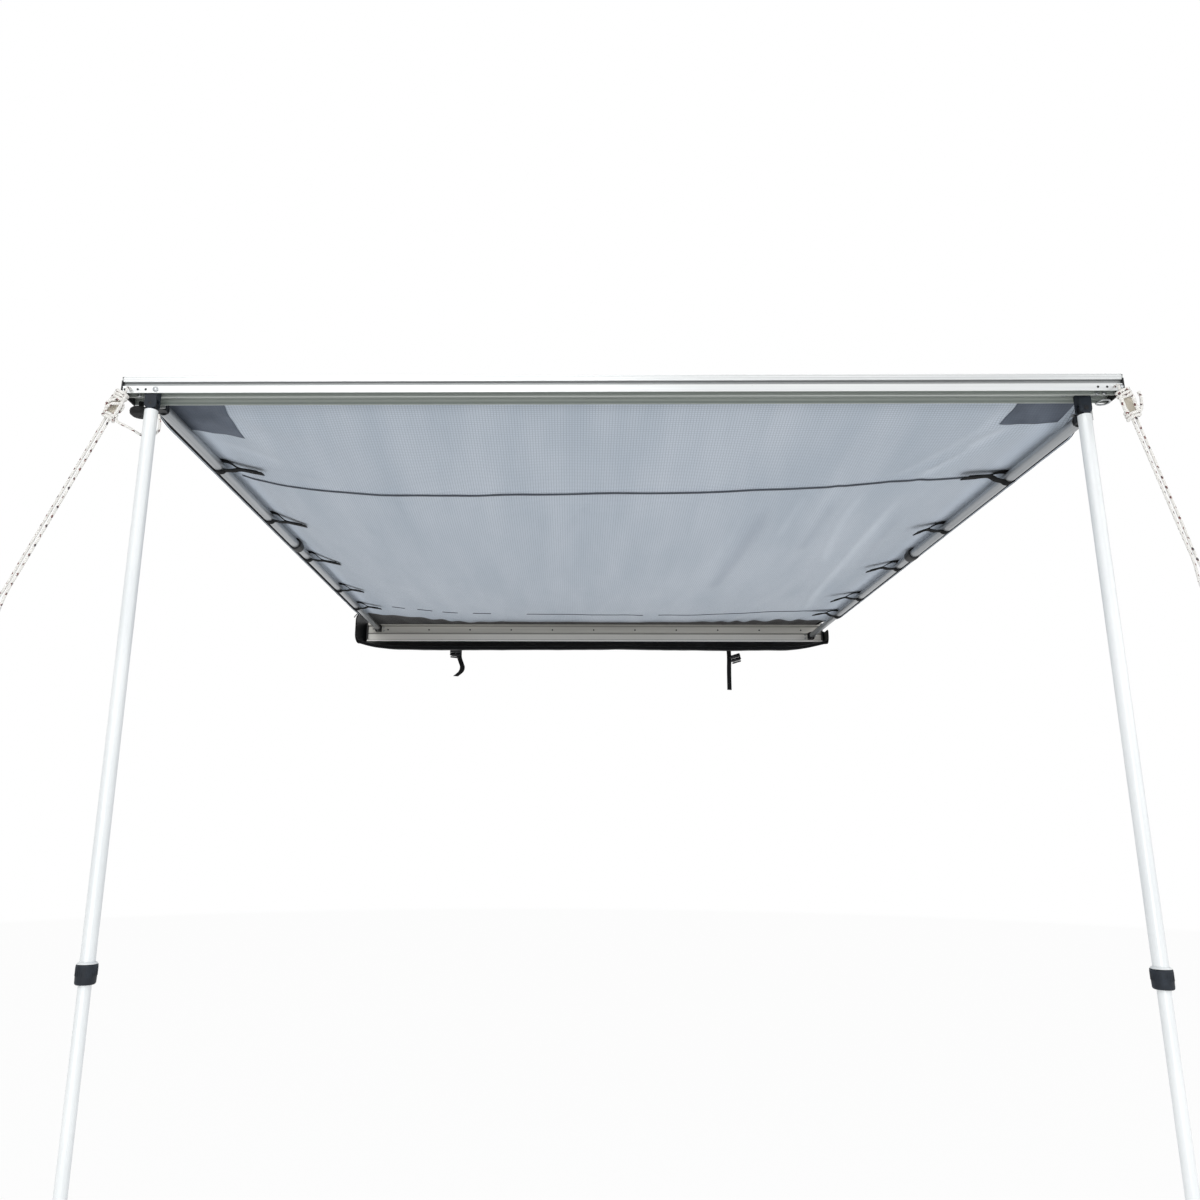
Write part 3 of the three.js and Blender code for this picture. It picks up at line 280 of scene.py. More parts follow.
def canopy_cloth():
    """Coated woven polyester, with its ripstop grid, sewn lines and the dark strip at the channel, painted
    light beside the arms, and painted light and shade along the creases.
    """
    r = Recipe("canopy_cloth")
    u, v = r.flat()
    place = r.point(u, v)
    grid = ripstop(u, v, 0.40)
    tone = r.noise(place, 1.7, 4.0, 0.6)
    streak = r.noise(r.point(u * 9.0, v * 1.3), 1.0, 3.0, 0.55)
    shade = tone * 0.4 + streak * 0.6
    cloth = r.blend(shade.rise(0.25, 0.75), linear(166, 177, 189), linear(188, 196, 206))
    cloth = r.blend(grid * 0.6, cloth, linear(122, 132, 146))
    # Painted light on the cloth beside each arm, over the arm's shadow.
    arm_side_painted_light = abs(u).rise(0.875, 0.930) * (1.0 - abs(u).rise(0.945, 0.960))
    cloth = r.blend(arm_side_painted_light * 0.4, cloth, linear(204, 215, 229))
    # Painted light along the light creases and painted shade along the dark ones, from the crease attribute.
    crease = r.node("ShaderNodeAttribute", {"attribute_name": "crease"}, out=2)
    cloth = r.blend(crease.rise(0.0, CREASE_SHADING_FULL) * 0.5, cloth, linear(206, 214, 224))
    cloth = r.blend((crease * -1.0).rise(0.0, CREASE_SHADING_FULL) * 0.4, cloth, linear(130, 140, 155))
    strip_reach, strip_edge = 0.105, 0.003
    wave = r.noise(r.point(u * 6.0, 0.0), 1.0, 2.0) - 0.5
    deep = (u * -1.0).rise(0.50, 0.80) * 0.15 + u.rise(0.62, 0.80) * 0.05
    strip = (v + wave * 0.06 + deep + strip_reach).rise(-strip_edge, strip_edge)
    cloth = r.blend(strip, cloth, linear(24, 25, 28))
    front_rows = near(v, -2.318, 0.0009).most(near(v, -2.310, 0.0009))
    side_rows = near(abs(u), 0.962, 0.0008).most(near(abs(u), 0.968, 0.0008))
    stitch = 0.006
    threads = front_rows.most(side_rows) * (((u + v) / stitch) % 1.0 > 0.35)
    cloth = r.blend(threads * 0.7, cloth, linear(52, 56, 66))
    height = woven(u, v) * 0.35 + grid * 0.5 + r.noise(place, 60.0, 3.0) * 0.8
    return r.done(
        Base_Color=cloth,
        Roughness=tone * 0.12 + 0.66,
        Normal=r.bump(height, 0.0004, 0.5),
        Sheen_Weight=0.12,
        Sheen_Roughness=0.5,
    )


def patch_cloth():
    """The darker cloth of the corner patches."""
    r = Recipe("corner_patch_cloth")
    u, v = r.flat()
    tone = r.noise(r.point(u, v), 9.0, 4.0)
    cloth = r.blend(tone.rise(0.3, 0.7), linear(70, 78, 90), linear(96, 104, 117))
    cloth = r.blend(ripstop(u, v, 0.42) * 0.2, cloth, linear(48, 53, 62))
    return r.done(
        Base_Color=cloth, Roughness=0.78, Normal=r.bump(woven(u, v) + tone * 2.0, 0.0003, 0.5)
    )


def webbing(name, dark, light, rib=0.0016, sheen=0.1):
    """Woven tape: u runs along it in metres, with a rib at each step, and v across it from 0 to 1."""
    r = Recipe(name)
    u, v = r.flat()
    columns_across = 9
    ribs = (u * (2 * math.pi / rib)).sine()
    columns = (v * (2 * math.pi * columns_across)).sine()
    edge = abs(v - 0.5).rise(0.44, 0.49)
    fluff = r.noise(r.point(u * 900.0, v * 30.0), 1.0, 3.0)
    tone = (ribs * 0.18 + columns * 0.12 + fluff * 0.7).rise(0.0, 0.8)
    cloth = r.blend(tone, dark, light)
    cloth = r.blend(edge * 0.5, cloth, light)
    return r.done(
        Base_Color=cloth,
        Roughness=fluff * 0.1 + 0.8,
        Normal=r.bump(ribs + columns * 0.6 + fluff, 0.0003, 0.6),
        Sheen_Weight=sheen,
        Specular_IOR_Level=0.2,
    )


def bag_vinyl():
    """Black coated cloth with a grain, soft creases along the bag and some dust."""
    r = Recipe("bag_vinyl")
    x, y, z = r.place()
    place = r.point(x, y, z)
    grain = r.noise(place, 700.0, 3.0, 0.6)
    crease = r.noise(r.point(x * 7.0, y * 30.0, z * 30.0), 1.0, 4.0, 0.6)
    dust = r.noise(place, 14.0, 5.0, 0.65)
    tone = r.blend(dust.rise(0.5, 0.75) * 0.5, linear(18, 19, 21), linear(39, 41, 44))
    return r.done(
        Base_Color=tone,
        Roughness=crease * 0.25 + 0.36,
        Normal=r.bump(grain * 0.4 + crease * 3.0, 0.0009, 0.5),
        Specular_IOR_Level=0.4,
    )


def drawn(r, place, along, coarse, fine):
    """A place for noise that is drawn out along one axis: coarse along it and fine across it."""
    return r.point(*(c * (coarse if axis == along else fine) for axis, c in zip("xyz", place)))


def anodised(name, low, high, metal, rough, along="x"):
    """Drawn aluminium: fine lines along its length, soft streaks and a few handling marks."""
    r = Recipe(name)
    place = r.place()
    lines = drawn(r, place, along, 0.8, 900.0)
    streaks = drawn(r, place, along, 1.5, 45.0)
    fine = r.noise(lines, 1.0, 2.0)
    broad = r.noise(streaks, 1.0, 3.0)
    marks = r.noise(r.point(*place), 55.0, 6.0, 0.7).rise(0.63, 0.75)
    tone = r.blend((fine * 0.45 + broad * 0.55).rise(0.3, 0.7), low, high)
    tone = r.blend(marks * 0.14, tone, linear(90, 92, 92))
    return r, place, {
        "Base_Color": tone,
        "Metallic": metal,
        "Roughness": fine * 0.14 + marks * 0.1 + (rough - 0.07),
        "Normal": r.bump(fine, 0.00012, 0.35),
    }


def rail_aluminium():
    """The front rail: two thin lines of painted shade in its top band, painted shade in the recessed band of
    its face, and less metallic bays underneath with painted shade, deepest at the back, and painted
    highlights on the ridge, the rear edge and the step.

    Heights are above the rail's lower lip and depths behind its front face.
    """
    r, (_, y, z), sockets = anodised(
        "rail_aluminium", linear(202, 205, 206), linear(226, 228, 228), 0.35, 0.4
    )
    up = z - RAIL_BOTTOM
    depth = y - RAIL_FRONT
    bay_top, ridge_depth, rear_lip = 0.0062, 0.030, 0.0571
    # Painted shade: two thin dark lines in the top band stand for the shadows of its small grooves.
    lines = near(up, 0.0335, 0.0005).most(near(up, 0.0290, 0.0004)) * (depth < 0.002) * 0.5
    # Painted shade in the recessed band of the front face.
    recess_shade = between(up, 0.0152, 0.0242) * (depth > 0.0012) * (depth < 0.0075)
    # Painted shade on the underside, deepest at the back, with painted highlights on the ridge, the rear edge
    # and the step.
    under = (up < 0.0128) * (depth > 0.001)
    ridge = (up < 0.0046) * near(depth, ridge_depth, 0.0024)
    rear = (depth > rear_lip) * (up < 0.0012)
    step = near(up, bay_top, 0.0006) * (depth > rear_lip)
    rear_bay_shade = (depth > ridge_depth) * (up < bay_top)
    bay_shade_and_highlights = r.blend(rear_bay_shade, linear(158, 164, 160), linear(132, 139, 135))
    bay_shade_and_highlights = r.blend(ridge, bay_shade_and_highlights, linear(182, 186, 182))
    bay_shade_and_highlights = r.blend(rear.most(step), bay_shade_and_highlights, linear(150, 156, 152))
    tone = r.blend(lines * 0.7, sockets["Base_Color"], linear(70, 72, 73))
    tone = r.blend(recess_shade * 0.7, tone, linear(96, 99, 100))
    sockets["Base_Color"] = r.blend(under, tone, bay_shade_and_highlights)
    sockets["Metallic"] = (1.0 - under) * 0.4
    return r.done(**sockets)


def rail_cap():
    """Black end caps, whose upper part is the bare end of the extrusion."""
    r, (_, _, z), sockets = anodised("rail_cap", linear(170, 173, 173), linear(200, 202, 201), 0.3, 0.45)
    # Below the bare end the cap is black; the thin black line kept at the height of the rail's upper groove
    # is painted shade, as on the rail.
    bare = (z > RAIL_BOTTOM + 0.0265) * (1.0 - near(z, RAIL_BOTTOM + 0.0335, 0.0007))
    sockets["Base_Color"] = r.blend(bare, linear(26, 27, 29), sockets["Base_Color"])
    sockets["Metallic"] = bare * 0.3
    return r.done(**sockets)


def channel_aluminium():
    """The backing channel: painted light on the band below its ridge, the ridge's painted shadow, painted
    shade along the top of its face and just above its lip, and a painted highlight on the lip.
    """
    r, (_, y, z), sockets = anodised(
        "channel_aluminium", linear(184, 183, 177), linear(208, 206, 200), 0.35, 0.44
    )
    ridge_foot, band_foot = -0.0075, -0.0300
    face = (y < -0.0095) * (y > -0.0112)
    shade = (z < -0.0012) * (z > ridge_foot) * face
    lower = (z < ridge_foot) * face
    lip = (y < -0.0292).most((z < -0.0355) * (y < -0.027))
    # Painted light on the lower band.
    tone = r.blend(lower * 0.6, sockets["Base_Color"], linear(236, 234, 229))
    tone = r.blend(shade * 0.6, tone, linear(82, 81, 77))
    # Painted shade in a band just above the lip.
    tone = r.blend((z < band_foot) * (z > -0.0352) * face * 0.6, tone, linear(96, 95, 91))
    # Painted shade along the top of the face.
    top = (z > 0.0255) * face
    tone = r.blend(top * 0.5, tone, linear(84, 83, 80))
    # Painted highlight on the lip.
    sockets["Base_Color"] = r.blend(lip * 0.9, tone, linear(246, 245, 241))
    return r.done(**sockets)


def plain_aluminium(*finish):
    """Drawn aluminium without bands of its own."""
    r, _, sockets = anodised(*finish)
    return r.done(**sockets)


def leg_tube():
    """White lacquer over drawn tube, with a few scuffs above its foot."""
    r = Recipe("white_tube")
    x, y, z = r.place()
    fine = r.noise(r.point(x * 900.0, y * 900.0, z * 0.8), 1.0, 2.0)
    broad = r.noise(r.point(x * 8.0, y * 8.0, z * 2.5), 1.0, 3.0)
    marks = r.noise(r.point(x * 60.0, y * 60.0, z * 9.0), 1.0, 5.0, 0.7).rise(0.62, 0.74)
    scuffs = marks * (0.35 + (z + 1.2).rise(0.0, -0.6))
    tone = r.blend(broad.rise(0.3, 0.7), linear(226, 230, 232), linear(238, 241, 242))
    tone = r.blend(scuffs * 0.3, tone, linear(150, 154, 156))
    return r.done(
        Base_Color=tone,
        Metallic=0.12,
        Roughness=fine * 0.1 + scuffs * 0.1 + 0.36,
        Normal=r.bump(fine, 0.00006, 0.2),
        Specular_IOR_Level=0.35,
    )


def moulded(name, low, high, rough, grain=0.0003):
    """Moulded plastic with a fine spark-eroded grain and slight wear."""
    r = Recipe(name)
    place = r.point(*r.place())
    fine = r.noise(place, 1300.0, 2.0)
    broad = r.noise(place, 40.0, 4.0, 0.6)
    tone = r.blend(broad.rise(0.4, 0.7), low, high)
    return r.done(
        Base_Color=tone,
        Roughness=broad * 0.2 + (rough - 0.1),
        Normal=r.bump(fine, grain, 0.35),
        Specular_IOR_Level=0.3,
    )


def zinc_steel():
    """Zinc-plated steel with a fleck."""
    r = Recipe("fastener_steel")
    fleck = r.noise(r.point(*r.place()), 260.0, 4.0, 0.6)
    tone = r.blend(fleck.rise(0.35, 0.65), linear(140, 143, 146), linear(196, 199, 201))
    return r.done(Base_Color=tone, Metallic=0.9, Roughness=fleck * 0.25 + 0.22)


def rope_braid():
    """White braid with dark and reddish flecks: u runs along the rope in metres and v once round it."""
    r = Recipe("rope_braid")
    u, v = r.flat()
    lay = 0.021
    one = (u / lay + v) % 1.0
    other = (u / lay - v) % 1.0
    strand = near(one, 0.5, 0.17) * near(other, 0.5, 0.20)
    pick = r.noise(r.point(u * 120.0, v * 3.0), 1.0, 1.0)
    fleck = strand * (pick > 0.44)
    yarn = r.noise(r.point(u * 1500.0, v * 40.0), 1.0, 2.0)
    tone = r.blend(yarn.rise(0.3, 0.7), linear(228, 226, 222), linear(246, 245, 241))
    red = r.blend(pick.rise(0.5, 0.62), linear(120, 62, 58), linear(52, 52, 62))
    tone = r.blend(fleck * 0.95, tone, red)
    braid = (one * (8 * math.pi)).sine() + (other * (8 * math.pi)).sine()
    return r.done(
        Base_Color=tone,
        Roughness=0.85,
        Normal=r.bump(braid + yarn * 0.6, 0.0004, 0.6),
        Sheen_Weight=0.2,
    )


TAPE_TONES = (linear(8, 8, 9), linear(26, 27, 29))
CLOTH = canopy_cloth()
PATCH = patch_cloth()
BLACK_TAPE = webbing("black_webbing", *TAPE_TONES, sheen=0.0)
BINDING = webbing("black_binding", *TAPE_TONES, 0.0012, 0.0)
SEAM_TAPE = webbing("seam_tape", linear(48, 52, 60), linear(84, 90, 100), 0.0014)
VINYL = bag_vinyl()
RAIL = rail_aluminium()
CAP = rail_cap()
CHANNEL = channel_aluminium()
PLAIN = plain_aluminium("bracket_aluminium", linear(158, 160, 160), linear(196, 198, 198), 0.7, 0.42)
ARM = plain_aluminium("arm_aluminium", linear(138, 141, 144), linear(170, 173, 176), 0.6, 0.36, "y")
LEG = leg_tube()
BLACK = moulded("black_plastic", linear(20, 21, 23), linear(38, 39, 42), 0.46)
SLATE = moulded("slate_plastic", linear(27, 32, 39), linear(41, 48, 57), 0.6)
CREAM = moulded("cream_plastic", linear(172, 166, 153), linear(200, 193, 180), 0.42, 0.0001)
STEEL = zinc_steel()
RUBBER = moulded("foot_rubber", linear(22, 22, 22), linear(40, 40, 41), 0.72, 0.0005)
ROPE = rope_braid()

FINISHES = {
    "backing_channel": CHANNEL,
    "front_rail": RAIL,
    "channel_end_cap": BLACK,
    "rail_end_cap": CAP,
    "roof_bracket": PLAIN,
    "bracket_bolt": STEEL,
    "arm_hinge_pin": STEEL,
    "arm_hinge": BLACK,
    "arm_knuckle": BLACK,
    "arm_inner_tube": ARM,
    "arm_outer_tube": ARM,
    "arm_collar": BLACK,
    "arm_tip": BLACK,
    "arm_tab": PLAIN,
    "leg_bracket": SLATE,
    "leg_pin": BLACK,
    "leg_knuckle": BLACK,
    "leg_upper_tube": LEG,
    "leg_lower_tube": LEG,
    "leg_collar": SLATE,
    "leg_foot": RUBBER,
    "guy_slider": CREAM,
}


def dress_solids():
    """Each solid gets the finish whose name fits the most of its own."""
    longest_first = sorted(FINISHES, key=len, reverse=True)
    for name, solid in NODES.items():
        finish = next((FINISHES[key] for key in longest_first if name.startswith(key)), None)
        if finish:
            for slot in solid.material_slots:
                slot.material = finish


dress_solids()


# Making pieces

def added(name, mesh, material=None):
    """An object for a mesh, in the scene and in its material."""
    if material:
        mesh.materials.append(material)
    made = bpy.data.objects.new(name, mesh)
    bpy.context.scene.collection.objects.link(made)
    return made


def settle(made, slot, body):
    """Gives a piece the body that carries it; its slot is not used."""
    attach(made, body)


def piece(name, vertices, faces, material, uv=None, smooth=True):
    """A mesh object from points and faces; uv gives one pair for each vertex, in metres."""
    mesh = bpy.data.meshes.new(name)
    mesh.from_pydata([tuple(p) for p in vertices], [], faces)
    mesh.validate()
    if uv:
        layer = mesh.uv_layers.new(name="flat")
        for loop in mesh.loops:
            layer.data[loop.index].uv = uv[loop.vertex_index]
    if smooth:
        mesh.shade_smooth()
    return added(name, mesh, material)


def from_shape(name, shape, material):
    """A mesh object from a bmesh, which it frees."""
    mesh = bpy.data.meshes.new(name)
    shape.to_mesh(mesh)
    shape.free()
    return added(name, mesh, material)


def apply_modifiers(made):
    """Bakes an object's modifiers into its mesh."""
    bpy.context.view_layer.update()
    graph = bpy.context.evaluated_depsgraph_get()
    mesh = bpy.data.meshes.new_from_object(made.evaluated_get(graph), depsgraph=graph)
    made.modifiers.clear()
    made.data = mesh


def grid_faces(columns, rows, closed=False):
    """Quads of a grid stored row by row, with columns + 1 points a row, or columns where it closes."""
    across = columns if closed else columns + 1
    faces = []
    for j in range(rows):
        for i in range(columns):
            a, b = j * across + i, j * across + (i + 1) % across
            faces.append((a, b, b + across, a + across))
    return faces


def thicken(made, thickness):
    """Gives a sheet its thickness, half to each side."""
    solid = made.modifiers.new("thickness", "SOLIDIFY")
    solid.thickness = thickness
    solid.offset = 0.0
    solid.use_even_offset = False
    apply_modifiers(made)


def fix_normals(made):
    """Turns all faces outwards."""
    shape = bmesh.new()
    shape.from_mesh(made.data)
    bmesh.ops.recalc_face_normals(shape, faces=shape.faces)
    shape.to_mesh(made.data)
    shape.free()


def heading(points, i):
    """Direction along a path at one of its points."""
    before, after = points[max(i - 1, 0)], points[min(i + 1, len(points) - 1)]
    return (after - before).normalized()


def swept_tube(name, points, radius, material, sides=12, relief=None):
    """A closed round tube along points, whose UV runs in metres along it and once round it."""
    vertices, uv, run = [], [], 0.0
    normal = heading(points, 0).orthogonal().normalized()
    for i, point in enumerate(points):
        if i:
            run += (point - points[i - 1]).length
        along = heading(points, i)
        normal = (normal - along * normal.dot(along)).normalized()
        other = along.cross(normal)
        for k in range(sides + 1):
            turn = 2 * math.pi * k / sides
            r = radius * (relief(run, turn) if relief else 1)
            if k < sides:
                vertices.append(point + r * (math.cos(turn) * normal + math.sin(turn) * other))
            uv.append((run, k / sides))
    faces = grid_faces(sides, len(points) - 1, closed=True)
    count = len(vertices)
    ends = [tuple(range(sides))[::-1], tuple(range(count - sides, count))]
    mesh = bpy.data.meshes.new(name)
    mesh.from_pydata([tuple(p) for p in vertices], [], faces + ends)
    layer = mesh.uv_layers.new(name="flat")
    for polygon in mesh.polygons:
        for place, loop in enumerate(polygon.loop_indices):
            ring, k = divmod(mesh.loops[loop].vertex_index, sides)
            if polygon.index < len(faces) and k == 0 and place in (1, 2):
                k = sides
            layer.data[loop].uv = uv[ring * (sides + 1) + k]
    mesh.shade_smooth()
    return added(name, mesh, material)


def ribbon(name, points, across, width, thickness, material):
    """A flat tape along points, with across as its width direction and with its edges broken."""
    side, flat = 0.5, 0.47  # shares of the width
    half, rim = 0.5 * thickness, 0.22 * thickness
    section = [
        (-side, rim - half), (-side, half - rim), (-flat, half), (flat, half),
        (side, half - rim), (side, rim - half), (flat, -half), (-flat, -half),
    ]
    wide = across.normalized()
    vertices, uv, run = [], [], 0.0
    for i, point in enumerate(points):
        if i:
            run += (point - points[i - 1]).length
        up = heading(points, i).cross(wide).normalized()
        for share, lift in section:
            vertices.append(point + wide * (share * width) + up * lift)
            uv.append((run, share + side))
    around, count = len(section), len(vertices)
    faces = grid_faces(around, len(points) - 1, closed=True)
    faces += [tuple(range(around))[::-1], tuple(range(count - around, count))]
    made = piece(name, vertices, faces, material, uv)
    fix_normals(made)
    return made


def mix(a, b, low, high, t):
    return a + (b - a) * ((t - low) / (high - low))


def ramp(value, low, high):
    """Zero up to low, one from high, and smooth between them."""
    t = min(max((value - low) / (high - low), 0), 1)
    return t * t * (3 - 2 * t)


def even_path(points, steps):
    """Points evenly spaced along a path."""
    lengths = [0.0]
    for a, b in zip(points, points[1:]):
        lengths.append(lengths[-1] + (b - a).length)
    made, k = [], 0
    for i in range(steps + 1):
        target = lengths[-1] * i / steps
        while k < len(points) - 2 and lengths[k + 1] < target:
            k += 1
        span = max(lengths[k + 1] - lengths[k], 1e-12)
        made.append(points[k].lerp(points[k + 1], min(max((target - lengths[k]) / span, 0), 1)))
    return made


def smooth_path(points, steps):
    """A centripetal Catmull-Rom curve through the points, as evenly spaced as its steps allow."""
    span_steps = 24
    ghost = [2 * points[0] - points[1], *points, 2 * points[-1] - points[-2]]
    dense = []
    for i in range(1, len(ghost) - 2):
        p = ghost[i - 1:i + 3]
        knots = [0.0]
        for a, b in zip(p, p[1:]):
            knots.append(knots[-1] + max((b - a).length, 1e-9) ** 0.5)
        for k in range(span_steps):
            t = knots[1] + (knots[2] - knots[1]) * k / span_steps
            a = [mix(p[j], p[j + 1], knots[j], knots[j + 1], t) for j in range(3)]
            b = [mix(a[j], a[j + 1], knots[j], knots[j + 2], t) for j in range(2)]
            dense.append(mix(b[0], b[1], knots[1], knots[2], t))
    dense.append(points[-1].copy())
    return even_path(dense, steps)


# Front rail

def flat_prism(name, outline, low, high, material, round_off=0.0005):
    """A prism along X of an outline of (y, z) points, with its edges broken."""
    shape = bmesh.new()
    face = shape.faces.new([shape.verts.new((low, y, z)) for y, z in outline])
    moved = bmesh.ops.extrude_face_region(shape, geom=[face])["geom"]
    corners = [g for g in moved if isinstance(g, bmesh.types.BMVert)]
    bmesh.ops.translate(shape, vec=(high - low, 0, 0), verts=corners)
    bmesh.ops.recalc_face_normals(shape, faces=shape.faces)
    bmesh.ops.bevel(shape, geom=shape.edges[:], offset=round_off, segments=2, affect="EDGES")
    return from_shape(name, shape, material)


def rail_caps():
    """End caps that stand proud below, and flush with the rail's end above."""
    lap, back, top = 0.0015, 0.060, 0.0359
    corner = 0.0025
    outline = [
        (corner, -lap), (-lap, corner), (-lap, 0.0260), (0.0, 0.0275), (0.0, 0.0345), (0.0012, top),
        (back, top), (back, -lap),
    ]
    places = [(RAIL_FRONT + y, RAIL_BOTTOM + z) for y, z in outline]
    for side, s in SIDES.items():
        low, high = sorted((s * 0.997, s * 1.0))
        cap = flat_prism(f"rail_cap_{side}", places, low, high, CAP)
        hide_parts(f"rail_end_cap_{side}")
        settle(cap, "black_plastic", "front_rail")


rail_caps()


# Guy ropes. Their routes are those of the solids.

ROPE_HOLE_X = 0.9807
ROPE_OUT = {"left": 0.205, "right": 0.105}
ROPE_DROP = {"left": 0.470, "right": 0.410}
ROPE_RADIUS = 0.00238
ROPE_TAIL = 0.006
ROPE_BEND = 0.010
ROPE_LEAD = 0.020
ROPE_STAND_OFF = 0.016
STRAND = 0.0042
SEAT_GAP = 0.0003
SLIDER_START = 0.024
SLIDER_MIDDLE = 0.047
SLIDER_END = 0.070


def guy_line(side):
    """A function from (along, aside, forward) to a point, and the length from hole to far loop."""
    s = SIDES[side]
    out, drop = ROPE_OUT[side], ROPE_DROP[side]
    length = math.hypot(out, drop)
    down = Vector((s * out / length, 0, -drop / length))
    across = Vector((s * drop / length, 0, out / length))
    hole = Vector((s * ROPE_HOLE_X, RAIL_FRONT, RAIL_LIP_Z))

    def place(along, aside, forward=ROPE_STAND_OFF):
        return hole + down * along + across * aside + Vector((0, -forward, 0))

    return place, length


def guy_route(side):
    """Out of the hole, down through the slider, round the far loop and back up to the slider."""
    place, length = guy_line(side)
    parting, closing = length - 0.050, length - 0.120
    points = [place(0, 0, -ROPE_TAIL), place(0, 0, 0)]
    for i in range(4):
        angle = i * math.pi / 6
        fall = 1 - math.cos(angle)
        forward = ROPE_STAND_OFF - ROPE_BEND * (1 - math.sin(angle))
        points.append(place(ROPE_BEND * fall, -STRAND * fall, forward))
    way_down = (SLIDER_START, SLIDER_MIDDLE, SLIDER_END, SLIDER_END + ROPE_LEAD, closing, parting)
    points += [place(along, -STRAND) for along in way_down]
    for i in range(5):
        angle = i * math.pi / 4
        points.append(place(length + ROPE_BEND * math.sin(angle), -ROPE_BEND * math.cos(angle)))
    way_up = (parting, closing, SLIDER_END + 2 * ROPE_LEAD, SLIDER_END + ROPE_LEAD, SLIDER_END + SEAT_GAP)
    points += [place(along, STRAND) for along in way_up]
    return points


def rope_lay(run, turn):
    """The braid's relief: two sets of strands that cross."""
    relief, twist = 0.034, 1140
    return 1 + relief * math.cos(2 * turn + run * twist) + relief * math.cos(2 * turn - run * twist)


def knot(name, points, radius):
    made = swept_tube(name, smooth_path(points, 12 * len(points)), radius, ROPE, 12, rope_lay)
    settle(made, "rope", "front_rail")
    return made


def slider_knots(side):
    """Turns of rope round the slider's ends, a strand along each of its sides, and a loose end."""
    place = guy_line(side)[0]

    def turns(along, count, pitch, start):
        """Points of a few turns laid round the slider, ten to a turn."""
        wide, deep, turn = 0.0118, 0.0092, 10
        points = []
        for i in range(int(count * turn) + 1):
            angle = start + 2 * math.pi * i / turn
            forward = ROPE_STAND_OFF + deep * math.sin(angle)
            points.append(place(along + pitch * i / turn, wide * math.cos(angle), forward))
        return points

    def strand(*spots):
        """Points from (along, aside, forward), with forward measured from the rope's own line."""
        return [place(along, aside, ROPE_STAND_OFF + forward) for along, aside, forward in spots]

    made = [
        knot(f"knot_top_{side}", turns(0.017, 2.3, 0.0066, 0.6), 0.0033),
        knot(f"knot_bottom_{side}", turns(0.062, 2.2, 0.0068, 2.6), 0.0033),
        knot(f"knot_inner_{side}", strand(
            (0.016, -0.004, 0.005), (0.022, -0.0105, 0.005), (0.044, -0.0120, 0.004),
            (0.064, -0.0110, 0.004), (0.073, -0.0050, 0.006),
        ), 0.0037),
        knot(f"knot_outer_{side}", strand(
            (0.022, 0.006, 0.007), (0.034, 0.0095, 0.006), (0.050, 0.0100, 0.005), (0.066, 0.0085, 0.007),
        ), 0.0036),
    ]
    if side == "right":
        made.append(knot("knot_tail_right", strand(
            (0.070, 0.010, 0.004), (0.062, 0.0185, 0.003), (0.048, 0.0260, 0.001), (0.034, 0.0300, 0.0),
            (0.026, 0.0285, 0.0),
        ), 0.0029))
    else:
        made.append(knot("knot_cross_left", strand(
            (0.030, -0.012, 0.008), (0.040, 0.002, 0.0125), (0.052, 0.012, 0.009), (0.060, 0.006, -0.010),
            (0.052, -0.008, -0.010), (0.040, -0.014, 0.0), (0.046, -0.004, 0.0125), (0.058, 0.010, 0.009),
        ), 0.0030))
        hook = strand((0.060, -0.012, 0.002), (0.074, -0.020, 0.002))
        hook += [Vector(p) for p in (
            (-0.9740, -2.4130, -0.0660), (-0.9630, -2.4030, -0.0705), (-0.9580, -2.3850, -0.0715),
            (-0.9520, -2.3735, -0.0700), (-0.9400, -2.3685, -0.0660), (-0.9275, -2.3725, -0.0580),
            (-0.9220, -2.3830, -0.0440), (-0.9245, -2.3860, -0.0290),
        )]
        made.append(knot("knot_loop_left", hook, 0.0026))
    return made


def guy_rope(side):
    route = guy_route(side)
    path = smooth_path(route, 420)
    rope = swept_tube(f"guy_rope_{side}_braid", path, ROPE_RADIUS, ROPE, 14, rope_lay)
    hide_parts(f"guy_rope_{side}")
    settle(rope, "rope", "front_rail")
    tuple(route[1])
    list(slider_knots(side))


for rope_side in SIDES:
    guy_rope(rope_side)


# Canopy

STRAP_REACH = (0.4606, 0.7601, 1.1797, 1.5838, 1.9800)


def cloth_run(y):
    """The share of the way from the channel's bead to the rail's."""
    return (CLOTH_BACK - y) / (CLOTH_BACK - CLOTH_FRONT)


def cloth_base(x, y):
    """The solid's own shape: lowest in its middle, with its sides lying over the arms."""
    run = min(max(cloth_run(y), 0), 1)
    beads = CLOTH_BACK_Z + (CLOTH_FRONT_Z - CLOTH_BACK_Z) * run
    ease = ramp(run, 0, REAR_EASE) * ramp(1 - run, 0, FRONT_EASE)
    across = min(abs(x) / CREST, 1)
    sides = beads + ease * (DRAPE + ARM_Z[-1 if x < 0 else 1] * across ** EDGE_POWER - beads)
    lowest = SAG_POWER / (1 + SAG_POWER)
    peak = lowest ** SAG_POWER * (1 - lowest)
    sag = CLOTH_SAG * run ** SAG_POWER * (1 - run) / peak - ease * (beads - DRAPE)
    out = abs(x) - ARM_X
    drop = SHOULDER_DROP * min(max(out / SHOULDER, 0), 1)
    drop += HEM_DROP * min(max((out - SHOULDER) / (CLOTH_HALF - ARM_X - SHOULDER), 0), 1)
    return sides - sag * (1 - across ** ACROSS_POWER) - ease * drop
